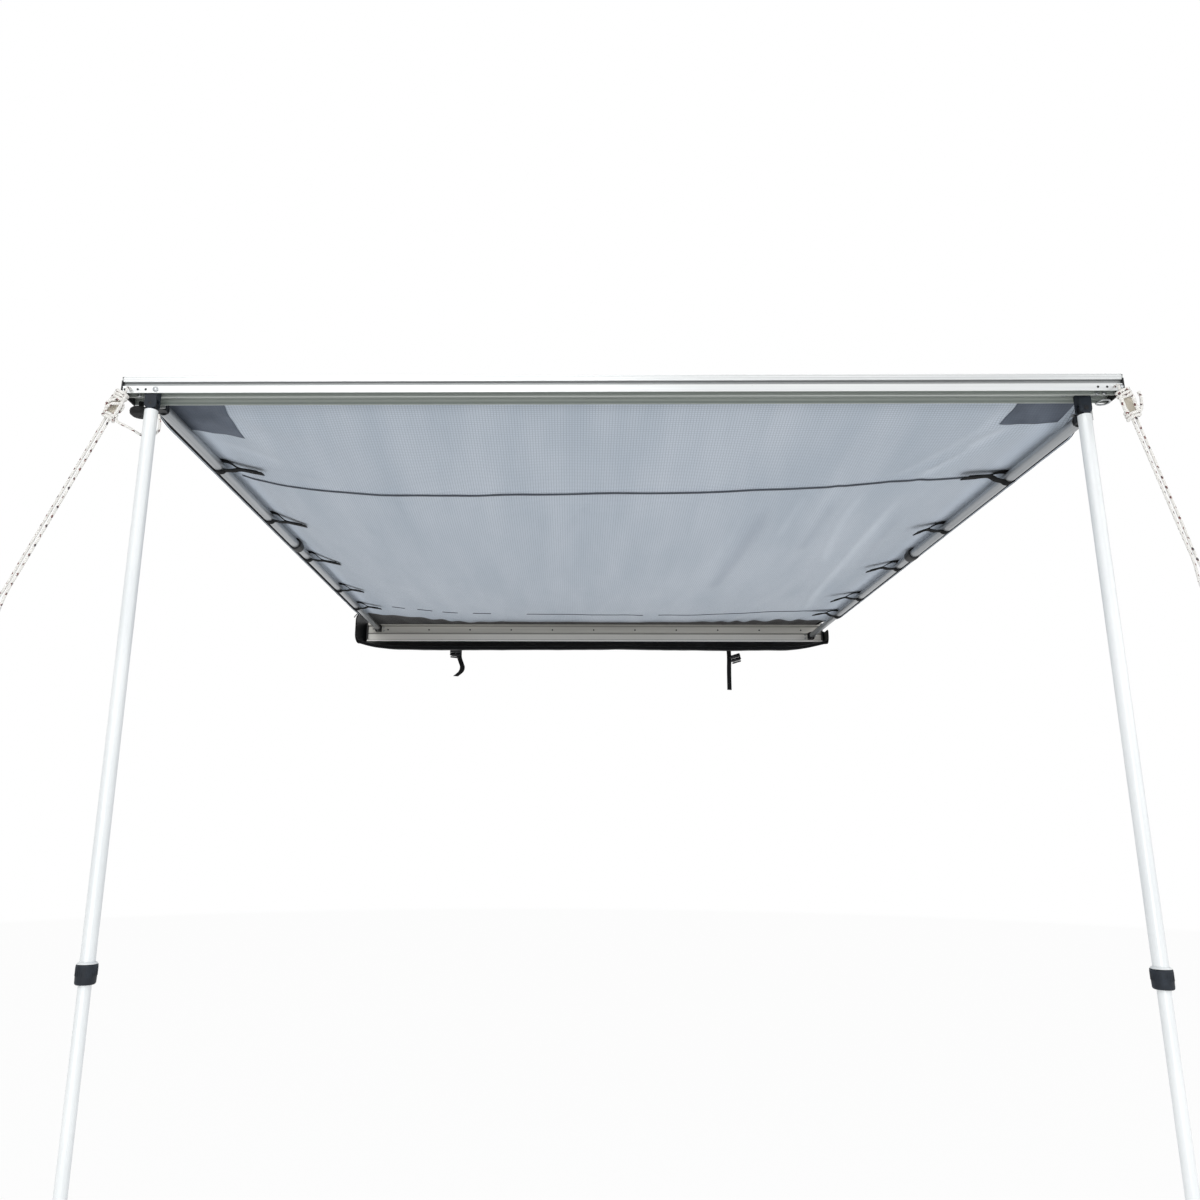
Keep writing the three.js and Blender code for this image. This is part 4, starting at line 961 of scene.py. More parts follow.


# Long creases: strength (below zero where the cloth sinks and looks darker), half width,
# start, end and how far the middle bows to the left of the way from start to end
CREASES = (
    (1.00, 0.017, (0.74, -2.00), (0.84, -0.35), 0.04),
    (0.70, 0.015, (0.63, -1.97), (0.69, -1.28), 0.03),
    (0.45, 0.013, (0.55, -2.02), (0.52, -1.72), 0.0),
    (0.50, 0.015, (0.48, -1.95), (0.46, -1.64), 0.0),
    (0.35, 0.022, (0.36, -1.92), (0.30, -1.39), 0.0),
    (0.95, 0.014, (0.87, -2.26), (0.73, -1.93), 0.0),
    (0.60, 0.014, (0.83, -2.31), (0.65, -1.94), -0.02),
    (-1.15, 0.026, (0.40, -1.96), (0.34, -1.10), 0.0),
    (-0.85, 0.019, (0.56, -1.94), (0.55, -1.50), 0.0),
    (-0.80, 0.018, (0.76, -1.84), (0.81, -1.15), 0.0),
    (-0.95, 0.011, (0.81, -2.13), (0.74, -2.01), 0.0),
    (-0.35, 0.016, (-0.68, -1.88), (-0.63, -1.60), 0.0),
    (-0.45, 0.012, (-0.53, -1.93), (-0.52, -1.80), 0.0),
    (-0.40, 0.013, (-0.03, -1.95), (-0.13, -1.64), 0.02),
    (0.55, 0.020, (-0.93, -2.12), (-0.76, -2.03), 0.0),
    (-0.50, 0.022, (-0.92, -2.01), (-0.66, -1.99), 0.0),
)


def creases(x, y):
    """How strongly a crease runs through a place: 1 on a strong light one, less than 0 in a dark one. The
    same number lifts or sinks the cloth and sets its painted light and shade.
    """
    total = 0.0
    for strength, wide, (ax, ay), (bx, by), bow in CREASES:
        length = math.hypot(bx - ax, by - ay)
        along = ((x - ax) * (bx - ax) + (y - ay) * (by - ay)) / length ** 2
        aside = ((y - ay) * (bx - ax) - (x - ax) * (by - ay)) / length
        if 0 < along < 1:
            gap = aside - bow * 4 * along * (1 - along)
            fade = ramp(along, 0, 0.25) * ramp(1 - along, 0, 0.22)
            total += strength * math.exp(-((gap / wide) ** 2)) * fade
    return total


def ripples(x, y, run, inner):
    """Broad and narrow ripples, which die out at the cloth's edges."""
    calm = ramp(run, 0.0, 0.06) * ramp(1 - run, 0.0, 0.03) * ramp(inner, 0.0, 0.14)
    broad = 0.0075 * noise.noise(Vector((x * 1.5, y * 0.6, 1.7)))
    lengthwise = 0.0026 * noise.noise(Vector((x * 6.5, y * 0.8 + x, 5.1)))
    small = 0.0009 * noise.noise(Vector((x * 13, y * 6, 9.2)))
    return (broad + lengthwise + small) * calm


def corner_pull(x, y, side, inner):
    """Rays from the cloth's front corner."""
    dx, dy = x - side * 0.93, y - (CLOTH_FRONT + 0.03)
    far = math.hypot(dx, dy)
    angle = math.atan2(dy, -side * dx)
    pull = math.sin(angle * 13 + 1.3 * side) * math.exp(-far / 0.28) * ramp(far, 0.02, 0.16)
    return 0.0030 * pull * ramp(inner, 0.0, 0.09)


def strap_pull(x, y, side, reach, inner):
    """Rays from a strap."""
    dx, dy = x - side * 0.925, y + reach
    gap = math.hypot(dx, dy)
    rays = math.cos(math.atan2(dy, -side * dx) * 7)
    return 0.0020 * rays * math.exp(-gap / 0.09) * ramp(gap, 0.01, 0.07) * ramp(inner, 0.0, 0.06)


def folds(x, y):
    """Creases in the cloth: broad ripples, pulls at the corners and at the straps, and the seam's dip."""
    run = cloth_run(y)
    inner = CREST - abs(x)
    lift = ripples(x, y, run, inner)
    lift += 0.0042 * creases(x, y) * ramp(inner, 0.0, 0.06)
    for side in SIDES.values():
        lift += corner_pull(x, y, side, inner)
        for reach in STRAP_REACH:
            lift += strap_pull(x, y, side, reach, inner)
    bunch = math.sin(x * 74 + 3 * noise.noise(Vector((x * 5, 0, 2)))) * math.exp(-((run - 0.05) / 0.05) ** 2)
    lift += 0.0042 * bunch * ramp(abs(x), 0.3, 0.75) * ramp(inner, 0.0, 0.08) * ramp(run, 0.0, 0.02)
    seam = abs(y - seam_y(x))
    lift += -0.0022 * math.exp(-((seam / 0.012) ** 2)) * ramp(inner, 0.0, 0.06)
    return lift


def seam_y(x):
    """Where the seam between the two cloth panels runs."""
    return -1.969 - 0.033 * x + 0.053 * x * x


def cloth_height(x, y):
    return cloth_base(x, y) + folds(x, y)


def on_cloth(x, y, below=0.0):
    """A point of the cloth, or one below it."""
    return Vector((x, y, cloth_height(x, y) - below))


def cloth_normal(x, y):
    step = 0.004
    run_x = cloth_height(x + step, y) - cloth_height(x - step, y)
    run_y = cloth_height(x, y + step) - cloth_height(x, y - step)
    return Vector((-run_x / (2 * step), -run_y / (2 * step), 1)).normalized()


def gather(made):
    """Bakes a cloth piece's placing into its mesh."""
    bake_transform(made)


def canopy():
    inner, inner_columns, rows = 0.93, 178, 230
    edge = [0.9360, CREST, 0.9455, ARM_X, 0.9540, 0.9580, 0.9640, 0.9700, 0.9760, CLOTH_HALF]
    inside = [inner * (2 * i / inner_columns - 1) for i in range(inner_columns + 1)]
    places = [-x for x in reversed(edge)] + inside + edge
    flat = []
    for j in range(rows + 1):
        y = CLOTH_BACK + (CLOTH_FRONT - CLOTH_BACK) * j / rows
        flat += [(x, y) for x in places]
    faces = [f[::-1] for f in grid_faces(len(places) - 1, rows)]
    cloth = piece("canopy_cloth", [on_cloth(x, y) for x, y in flat], faces, CLOTH, flat)
    # The crease attribute carries the cloth's painted light and shade.
    tone = cloth.data.attributes.new("crease", "FLOAT", "POINT")
    tone.data.foreach_set("value", [creases(x, y) for x, y in flat])
    thicken(cloth, 0.0012)
    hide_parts("canopy")
    gather(cloth)
    return cloth


def bead(name, y, z, body, outwards):
    """The cord that is sewn into the cloth's edge and slides in its groove, and its tongue of cloth."""
    columns = 60
    points = [Vector((CLOTH_HALF * (2 * i / columns - 1), y, z)) for i in range(columns + 1)]
    cord = swept_tube(name, points, 0.0034, CLOTH, 14)
    settle(cord, "canopy_cloth", body)
    reaches = (0.0032, 0.0058)
    corners = [Vector((x, y + outwards * reach, z)) for x in (-CLOTH_HALF, CLOTH_HALF) for reach in reaches]
    tongue = piece(f"{name}_tongue", corners, [(0, 1, 3, 2)], CLOTH, [(p.x, p.y) for p in corners])
    thicken(tongue, 0.0012)
    settle(tongue, "canopy_cloth", body)


def edge_binding(side):
    """Black tape folded over the cloth's side edge."""
    s = SIDES[side]
    margin, steps = 0.004, 180
    points = []
    for j in range(steps + 1):
        y = CLOTH_BACK - margin + (CLOTH_FRONT - CLOTH_BACK + 2 * margin) * j / steps
        lap = 0.0012 * math.sin(y * 40) * noise.noise(Vector((0, y * 9, float(side == "left"))))
        points.append(Vector((s * (CLOTH_HALF - 0.0035 + lap), y, cloth_height(s * 0.978, y))))
    made = ribbon(f"canopy_binding_{side}", points, Vector((1, 0, 0)), 0.012, 0.0034, BINDING)
    gather(made)


def corner_patch(side, corners):
    """A reinforcing patch sewn under the cloth's front corner, from four (x, y) corners."""
    steps = 16
    vertices, uv = [], []
    a, b, c, d = (Vector(p) for p in corners)
    for j in range(steps + 1):
        for i in range(steps + 1):
            u, v = i / steps, j / steps
            flat = a.lerp(b, u).lerp(d.lerp(c, u), v)
            flat += Vector((0.004 * math.sin(v * math.pi), 0.003 * math.sin(u * math.pi))) * SIDES[side]
            vertices.append(on_cloth(flat.x, flat.y) - cloth_normal(flat.x, flat.y) * 0.0014)
            uv.append((flat.x, flat.y))
    made = piece(f"corner_patch_{side}", vertices, grid_faces(steps, steps), PATCH, uv)
    thicken(made, 0.0009)
    fix_normals(made)
    gather(made)


def cross_seam():
    """The seam that joins the two cloth panels, near the front straps."""
    reach, steps = 0.925, 240
    points = []
    for i in range(steps + 1):
        x = reach * (2 * i / steps - 1)
        y = seam_y(x) + 0.0015 * noise.noise(Vector((x * 4, 2, 2)))
        points.append(on_cloth(x, y, 0.0018))
    made = ribbon("cross_seam", points, Vector((0, 1, 0)), 0.0075, 0.0016, SEAM_TAPE)
    gather(made)


def rear_seam():
    """The tacked-down seam near the channel, which shows in short lengths and then in one long one."""
    spans = ((-0.80, -0.75), (-0.70, -0.64), (-0.60, -0.54), (-0.48, -0.41), (-0.27, 0.18), (0.24, 0.93))
    for k, (low, high) in enumerate(spans):
        points = []
        steps = max(int((high - low) * 60), 5)
        for i in range(steps + 1):
            x = low + (high - low) * i / steps
            y = -0.49 - 0.045 * math.cos(2.2 * x) + 0.03 * x
            points.append(on_cloth(x, y, 0.0016))
        gather(swept_tube(f"rear_seam_{k}", points, 0.0015, SEAM_TAPE, 8))


cloth_object = canopy()
rear_seam()
bead("canopy_bead_rear", -0.016, CLOTH_BACK_Z, "channel", -1)
bead("canopy_bead_front", -2.3458, CLOTH_FRONT_Z, "front_rail", 1)
for cloth_side in SIDES:
    edge_binding(cloth_side)
corner_patch("left", [(-0.965, -2.336), (-0.828, -2.336), (-0.830, -2.158), (-0.9585, -2.164)])
corner_patch("right", [(0.840, -2.336), (0.960, -2.336), (0.942, -2.246), (0.826, -2.230)])
cross_seam()


# Straps that tie the cloth to the arms

def arm_strap(side, number):
    """A hook-and-loop strap: from the hem outside the arm, round under it and on to its own upper end."""
    s = SIDES[side]
    y = -STRAP_REACH[number - 1]
    arm_z = ARM_Z[s]
    wobble = noise.noise(Vector((number * 3.3, s * 2.1, 0.5)))
    top = cloth_height(s * 0.94, y) - 0.002
    meet = 0.048 + 0.010 * wobble
    tail = 0.100 + 0.018 * noise.noise(Vector((number * 1.7, s * 5.3, 2.5)))
    hang = cloth_height(s * (ARM_X - meet), y) - 0.013 - 0.004 * wobble
    end = hang - 0.008 - 0.012 * (0.5 + wobble)

    def at(inward, z):
        """A point inward of the arm's axis, at this height or just below the cloth."""
        x = s * (ARM_X - inward)
        return Vector((x, y, min(z, cloth_height(x, y) - 0.0032)))

    lower = [at(-0.014, top), at(-0.0150, arm_z + 0.006)]
    radius, steps = 0.014076, 7
    for k in range(1, steps + 1):
        angle = math.pi + 0.1 + (math.pi - 0.75) * k / steps
        lower.append(at(math.cos(angle) * radius, arm_z + math.sin(angle) * radius))
    lower += [at(meet * 0.66, (arm_z + hang) / 2 - 0.007), at(meet, hang - 0.0022)]
    lower += [at((meet + tail) / 2, (hang + end) / 2 - 0.001), at(tail, end)]
    bend, leave = 0.020, meet * 0.72
    upper = [
        at(-0.0125, top), at(0.004, top - 0.0004), at(bend, cloth_height(s * (ARM_X - bend), y) - 0.0036),
        at(leave, (cloth_height(s * (ARM_X - leave), y) + hang) / 2), at(meet, hang),
        at((meet + tail) / 2, (hang + end) / 2 + 0.0010),
        at(meet + (tail - meet) * 0.8, hang + (end - hang) * 0.8 + 0.0014),
    ]
    skew = Vector((0.10 * wobble * s, 1, 0.05))
    for part, points, count in (("under", lower, 56), ("over", upper, 36)):
        path = smooth_path(points, count)
        made = ribbon(f"arm_strap_{side}_{number}_{part}", path, skew, 0.023, 0.0026, BLACK_TAPE)
        if part == "under":
            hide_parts(f"arm_strap_{side}_{number}")
        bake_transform(made)


for strap_side in SIDES:
    for strap_number in range(1, 6):
        arm_strap(strap_side, strap_number)


# Storage bag

BAG_DEPTH = 0.122
BAG_FOOT = 1.0003
BAG_LEAN = {-1: 0.026, 1: -0.0035}
BAG_BACK = 0.006  # the sheet's rear edge, in front of the channel's back
BAG_TOP = -0.04355
BAG_DROP = 0.050
LIP = 0.030  # how far the sheet lies flat under the channel


def bag_end(s, reach):
    """How far out the bag's end stands at a reach in front of the channel's back."""
    share = reach / BAG_DEPTH
    return BAG_FOOT + 0.00125 + BAG_LEAN[s] * (share if s < 0 else share * share)


def bag_point(across, share):
    """A point of the bag's sheet: across runs from -1 to 1 and share from under the channel to the front."""
    taper = math.sin(min((1 - abs(across)) * BAG_FOOT / 0.190, 1) * math.pi / 2)
    depth = BAG_DEPTH - 0.022 * (1 - taper)
    reach = BAG_BACK + (depth - BAG_BACK) * share
    drop = 0.0
    if reach > LIP:
        run = (reach - LIP) / (BAG_DEPTH - LIP)
        drop = BAG_DROP * (0.3 + 0.7 * taper) * math.sin(run * 0.62 * math.pi)
    x = bag_end(-1 if across < 0 else 1, reach) * across
    loose = ramp(reach, LIP, LIP + 0.03)
    drop += loose * 0.0035 * noise.noise(Vector((x * 4.5, reach * 9, 7.7)))
    drop += loose * 0.0012 * noise.noise(Vector((x * 17, reach * 22, 3.1)))
    return Vector((x, -reach, BAG_TOP - drop))


def bag_sheet():
    columns, rows = 260, 26
    vertices = []
    for j in range(rows + 1):
        for i in range(columns + 1):
            even = 2 * i / columns - 1
            spread = math.copysign(1 - (1 - abs(even)) ** 1.3, even)
            vertices.append(bag_point(spread, j / rows))
    uv = [(point.x, point.y) for point in vertices]
    made = piece("bag_sheet", vertices, grid_faces(columns, rows), VINYL, uv)
    thicken(made, 0.0022)
    fix_normals(made)
    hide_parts("storage_bag")
    settle(made, "bag_vinyl", "channel")


def panel_outline(side):
    """The end panel's edge, as (y, z) points. The right one has sunk behind the arm."""
    front, root, steps = -BAG_DEPTH, -0.0460, 10
    shapes = {"left": (0.052, 0.064, 0.034, 0.034), "right": (0.010, -0.008, 0.010, 0.026)}
    back, crown, above, below = shapes[side]

    def arc(y, z, r, start, end):
        angles = [start + (end - start) * i / steps for i in range(steps + 1)]
        return [(y + r * math.cos(angle), z + r * math.sin(angle)) for angle in angles]

    return [
        (0.0, root), (0.0, back), (front / 2, crown),
        *arc(front + above, crown - above, above, math.pi / 2, math.pi),
        *arc(front + below, below - 0.062, below, math.pi, 1.5 * math.pi),
    ]


def panel_point(s, y, z, out):
    """A place on an end panel, which leans outwards to its front."""
    return Vector((s * (bag_end(s, -y) + out), y, z))


def bag_panel(side):
    """A stiff end panel that bulges a little, with piping round its edge."""
    s = SIDES[side]
    bulge, waves = 0.0042, 0.0012
    outline = panel_outline(side)
    edge = even_path([Vector((y, z, 0)) for y, z in [*outline, outline[0]]], 96)[:-1]
    centre = sum(edge, Vector()) / len(edge)
    vertices, uv, rings = [], [], (1.0, 0.975, 0.93, 0.82, 0.62, 0.38, 0.16)
    for share in rings:
        for point in edge:
            flat = centre.lerp(point, share)
            crown = bulge * (1 - share ** 3)
            crown += waves * noise.noise(Vector((flat.x * 30, flat.y * 30, s))) * (1 - share ** 6)
            vertices.append(panel_point(s, flat.x, flat.y, crown))
            uv.append((flat.x, flat.y))
    faces = grid_faces(len(edge), len(rings) - 1, closed=True)
    last = (len(rings) - 1) * len(edge)
    faces.append(tuple(range(last, last + len(edge))))
    made = piece(f"bag_panel_{side}", vertices, faces, VINYL, uv)
    fix_normals(made)
    thicken(made, 0.0024)
    settle(made, "bag_vinyl", "channel")
    rim = [panel_point(s, p.x, p.y, 0.0004) for p in edge]
    piping = swept_tube(f"bag_piping_{side}", [*rim[3:], *rim[:4]], 0.0024, BINDING, 10)
    settle(piping, "webbing", "channel")


bag_sheet()
for bag_side in SIDES:
    bag_panel(bag_side)


# What repeats, made by node trees

class Tree(Wiring):
    """A geometry node tree with named sizes, which sets one shape on each point of a mesh."""

    def __init__(self, name, *sizes):
        super().__init__(bpy.data.node_groups.new(name, "GeometryNodeTree"))
        sockets = self.tree.interface
        for way in ("INPUT", "OUTPUT"):
            sockets.new_socket("Geometry", in_out=way, socket_type="NodeSocketGeometry")
        self.ids = []
        for size in sizes:
            socket = sockets.new_socket(size, in_out="INPUT", socket_type="NodeSocketFloat")
            self.ids.append(socket.identifier)
        start = self.tree.nodes.new("NodeGroupInput")
        self.points, *self.sizes = [Value(self, s) for s in start.outputs][:len(sizes) + 1]
        self.end = self.tree.nodes.new("NodeGroupOutput")

    def finish(self, shape, axis, material):
        """Turns the shape's axis to the way that each point faces, and paints it."""
        facing = self.node(
            "GeometryNodeInputNamedAttribute", {"data_type": "FLOAT_VECTOR"}, {"Name": "facing"}
        )
        turn = self.node("FunctionNodeAlignRotationToVector", {"axis": axis}, {"Vector": facing})
        spread = self.node(
            "GeometryNodeInstanceOnPoints", {}, {"Points": self.points, "Instance": shape, "Rotation": turn}
        )
        real = self.node("GeometryNodeRealizeInstances", {}, {0: spread})
        paint = self.node("GeometryNodeSetMaterial", {}, {0: real, 2: material})
        self.wire(paint, self.end.inputs[0])
        return self


def heads_tree(name, sides, dome, material):
    """A screw, bolt or rivet head on each point, turned to the way that the point faces."""
    t = Tree(name, "Radius", "Height")
    radius, height = t.sizes
    shape = t.node(
        "GeometryNodeMeshCylinder", {"fill_type": "NGON"},
        {"Vertices": sides, "Radius": radius, "Depth": height},
    )
    if dome:
        ball = t.node("GeometryNodeMeshUVSphere", {}, {"Segments": 18, "Rings": 10, "Radius": radius * 0.96})
        low = t.node("GeometryNodeTransform", {}, {"Geometry": ball, "Scale": t.point(1.0, 1.0, 0.42)})
        lift = t.point(0.0, 0.0, height * 0.3)
        high = t.node("GeometryNodeTransform", {}, {"Geometry": low, "Translation": lift})
        both = t.node("GeometryNodeJoinGeometry", {}, {0: high})
        t.wire(shape, both.socket.node.inputs[0])
        shape = both
    smooth = t.node("GeometryNodeSetShadeSmooth", {}, {0: shape, 2: dome})
    return t.finish(smooth, "Z", material)


def blocks_tree(name, material):
    """A rib or tooth on each point: its sizes are along the way that the point faces, aside and up."""
    t = Tree(name, "Along", "Aside", "Up")
    block = t.node("GeometryNodeMeshCube", {}, {"Size": t.point(*t.sizes)})
    return t.finish(block, "X", material)


RIVET_HEADS = heads_tree("rivet_heads", 20, True, STEEL)
HEX_HEADS = heads_tree("hex_heads", 6, False, STEEL)
# Thin black discs that stand for holes: painted shade.
HOLE_SHADE_DISCS = heads_tree("dark_holes", 16, False, BLACK)
DARK_RIVETS = heads_tree("dark_rivets", 18, True, SLATE)
SLATE_RIBS = blocks_tree("slate_ribs", SLATE)
ZIP_TEETH = blocks_tree("zip_teeth", BLACK)
FOOT_RIBS = blocks_tree("foot_ribs", RUBBER)
ARM_RIBS = blocks_tree("arm_ribs", BLACK)


def grow(name, points, ways, tree, sizes, slot, body):
    """Runs a tree on bare points that carry a direction each, and keeps the plain mesh."""
    mesh = bpy.data.meshes.new(name)
    mesh.from_pydata([tuple(p) for p in points], [], [])
    facing = mesh.attributes.new("facing", "FLOAT_VECTOR", "POINT")
    facing.data.foreach_set("vector", [c for way in ways for c in way])
    made = added(name, mesh)
    modifier = made.modifiers.new("grow", "NODES")
    modifier.node_group = tree.tree
    for identifier, size in zip(tree.ids, sizes):
        modifier[identifier] = size
    apply_modifiers(made)
    settle(made, slot, body)


# Screws, bolts, rivets and holes, each set with its heads' radius and height; the holes are thin black discs
# of painted shade

FRONT = (0, -1, 0)
DOWN = (0, 0, -1)


def heads(name, points, way, tree, sizes, slot, body):
    """Heads that all face one way."""
    grow(name, points, [way] * len(points), tree, sizes, slot, body)


def channel_fasteners():
    """Rivets along the channel and three screws at each arm hinge."""
    reach, count = 0.91, 11
    points = [(reach * (2 * i / (count - 1) - 1), -0.0104, 0.0125) for i in range(count)]
    heads("channel_rivets", points, FRONT, DARK_RIVETS, (0.0034, 0.0016), "black_plastic", "channel")
    points = [
        (s * (ARM_X - dx), -0.0106, ARM_Z[s] + dz)
        for s in SIDES.values() for dx, dz in ((0.022, 0.006), (0.022, -0.008), (-0.022, 0.0))
    ]
    heads("hinge_screws", points, FRONT, RIVET_HEADS, (0.0036, 0.0022), "fastener_steel", "channel")


def rail_fasteners():
    """Screws in the rail's lip with holes as thin black discs of painted shade, bolts in its bays and screws
    in its middle ridge.
    """
    screws = [(x, RAIL_FRONT - 0.0004, RAIL_LIP_Z) for x in (-0.930, 0.9925)]
    heads("rail_screws", screws, FRONT, RIVET_HEADS, (0.0052, 0.0026), "fastener_steel", "front_rail")
    # The holes in the lip are painted shade: thin black discs on its face.
    holes = [(x, RAIL_FRONT - 0.0001, RAIL_LIP_Z) for x in (-0.9925, -0.966, -0.950, 0.948, 0.966)]
    heads("rail_hole_shade_discs", holes, FRONT, HOLE_SHADE_DISCS, (0.0024, 0.0004), "black_plastic", "front_rail")
    bolts = [(x, y, RAIL_BOTTOM + 0.0112) for x in (-0.905, 0.905, 0.965, -0.965) for y in (-2.3845, -2.3555)]
    heads("rail_bolts", bolts, DOWN, HEX_HEADS, (0.0062, 0.0032), "fastener_steel", "front_rail")
    ridge = [(x, RAIL_FRONT + 0.0280, RAIL_BOTTOM + 0.0072) for x in (-0.975, -0.961, 0.961, 0.975)]
    heads("ridge_screws", ridge, FRONT, RIVET_HEADS, (0.0042, 0.0026), "fastener_steel", "front_rail")


channel_fasteners()
rail_fasteners()


# Turned pieces: what hangs below the rail, and the legs' twist locks

def lathe(name, profile, centre, material, sides=56):
    """A closed ring turned round Z from a loop of (radius, height) points."""
    angles = [2 * math.pi * k / sides for k in range(sides)]
    vertices = [centre + Vector((r * math.cos(a), r * math.sin(a), z)) for r, z in profile for a in angles]
    faces = grid_faces(sides, len(profile) - 1, closed=True)
    last = (len(profile) - 1) * sides
    faces += [(last + i, last + (i + 1) % sides, (i + 1) % sides, i) for i in range(sides)]
    made = piece(name, vertices, faces, material, smooth=False)
    fix_normals(made)
    for polygon in made.data.polygons:
        polygon.use_smooth = abs(polygon.normal.z) < 0.5
    return made


def rail_hardware():
    """A knob below the rail's left end and an eye below its right end."""
    knob = lathe("rail_knob", [
        (0.0020, 0.0220), (0.0050, 0.0220), (0.0050, 0.0080), (0.0170, 0.0066), (0.0202, 0.0036),
        (0.0210, 0.0000), (0.0202, -0.0050), (0.0160, -0.0086), (0.0020, -0.0096),
    ], Vector((-0.9745, -2.3600, -0.0120)), RUBBER)
    settle(knob, "foot_rubber", "front_rail")
    eye = lathe("rail_eye", [
        (0.0104, -0.0010), (0.0116, -0.0016), (0.0134, -0.0016), (0.0144, -0.0004), (0.0144, 0.0006),
        (0.0134, 0.0016), (0.0112, 0.0014),
    ], Vector((0.9830, -2.3500, 0.0092)), STEEL)
    settle(eye, "fastener_steel", "front_rail")


def box_middle(node):
    low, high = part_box(node)
    return (low + high) / 2


def leg_collars():
    """Turned twist locks with a pale lip round the tube."""
    upper_bore, lower_bore, half = 0.01335, 0.01150, 0.0170
    for side in SIDES:
        middle = box_middle(f"leg_collar_{side}")
        body = lathe(f"collar_body_{side}", [
            (lower_bore, -half), (0.0150, -half), (0.0166, -0.0160), (0.0176, -0.0138), (0.0180, 0.0000),
            (0.0183, 0.0150), (0.0180, 0.0164), (0.0170, half), (upper_bore, half), (upper_bore, -0.0004),
            (lower_bore, -0.0004),
        ], middle, SLATE)
        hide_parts(f"leg_collar_{side}")
        settle(body, "slate_plastic", f"leg_collar_{side}")
        lip = lathe(f"collar_lip_{side}", [
            (0.01340, half), (0.0176, half), (0.0172, 0.0178), (0.0150, 0.0200), (0.01340, 0.0206),
        ], middle, LEG)
        settle(lip, "white_tube", f"leg_collar_{side}")


# Ribs round the collars and feet, each set with its ribs' sizes along the radius, round it and up

def spokes(count):
    """Directions spread evenly round a circle, as pairs."""
    return [(math.cos(a), math.sin(a)) for a in (2 * math.pi * k / count for k in range(count))]


def ribs(name, centre, radius, ways, tree, sizes, slot, body):
    grow(name, [centre + way * radius for way in ways], ways, tree, sizes, slot, body)


def leg_grips():
    ways = [Vector((c, s, 0)) for c, s in spokes(28)]
    for side in SIDES:
        centre = box_middle(f"leg_collar_{side}") + Vector((0, 0, 0.0055))
        ribs(f"leg_grip_{side}", centre, 0.0181, ways, SLATE_RIBS, (0.0008, 0.0016, 0.015),
             "slate_plastic", f"leg_collar_{side}")


def arm_collar_ribs():
    """Ribs round an arm's collar, which end where the cloth lies on it."""
    ways = [Vector((c, 0, s)) for c, s in spokes(24) if s < 0.62]
    for side in SIDES:
        centre = box_middle(f"arm_collar_{side}") + Vector((0, -0.009, 0))
        ribs(f"arm_grip_{side}", centre, 0.0178, ways, ARM_RIBS, (0.0011, 0.016, 0.0017),
             "black_plastic", f"arm_collar_{side}")


def foot_treads():
    ways = [Vector((c, s, 0)) for c, s in spokes(22)]
    for side in SIDES:
        low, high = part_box(f"leg_foot_{side}")
        middle = (low + high) / 2
        centre = Vector((middle.x, middle.y, low.z + 0.0038))
        ribs(f"foot_tread_{side}", centre, 0.0160, ways, FOOT_RIBS, (0.0014, 0.0026, 0.0064),
             "foot_rubber", f"leg_lower_{side}")


def bag_zip():
    """The half zip along the bag's front edge, with a pull at the left end."""
    columns, teeth = 120, 700
    front = [
        bag_point(2 * i / columns - 1, 1.0) + Vector((0, -0.0022, 0.0006)) for i in range(columns + 1)
    ]
    tape = ribbon("zip_tape", front, Vector((0, 0.25, 1)), 0.012, 0.0012, BINDING)
    settle(tape, "webbing", "channel")
    places = even_path(front, teeth)
    ways = [heading(places, i) for i in range(len(places))]
    points = [p + Vector((0, -0.0004, 0.0068)) for p in places]
    grow("zip_teeth", points, ways, ZIP_TEETH, (0.0016, 0.0036, 0.0014), "black_plastic", "channel")
    top = panel_point(-1, -0.080, 0.064, 0.003)
    outline = ((-0.007, -0.001), (0.007, -0.001), (0.008, 0.004), (0.004, 0.0075), (-0.004, 0.0075),
               (-0.008, 0.004))
    places = [(top.y + dy, top.z + dz) for dy, dz in outline]
    body = flat_prism("zip_slider", places, top.x - 0.004, top.x + 0.004, BLACK, 0.0008)
    settle(body, "black_plastic", "channel")
    hang = [top + Vector(d) for d in (
        (0.0, -0.004, 0.0085), (-0.006, -0.005, 0.0075), (-0.012, -0.006, 0.003), (-0.018, -0.007, -0.004),
        (-0.024, -0.008, -0.013),
    )]
    pull = ribbon("zip_pull", smooth_path(hang, 24), Vector((0, 1, 0)), 0.0085, 0.0016, BLACK_TAPE)
    settle(pull, "webbing", "channel")


rail_hardware()
leg_collars()
leg_grips()
arm_collar_ribs()
bag_zip()
foot_treads()


# Bag straps with their buckles

BAG_STRAP_X = 0.590
BAG_STRAP_Y = -0.015


def bag_strap(side, spots, end):
    """A hanging strap through (x, y, below its top) spots, and down to the solid's foot at its end."""
    low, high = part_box(f"bag_strap_{side}")
    hanger = Vector((SIDES[side] * BAG_STRAP_X, BAG_STRAP_Y, high.z))
    points = [hanger + Vector((x, y, -below)) for x, y, below in spots]
    points.append(hanger + Vector((*end, low.z + 0.001 - high.z)))
    path = smooth_path(points, 60)
    tape = ribbon(f"bag_webbing_{side}", path, Vector((1, 0.5, 0)), 0.0225, 0.0018, BLACK_TAPE)
    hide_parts(f"bag_strap_{side}")
    settle(tape, "webbing", "channel")
    return hanger


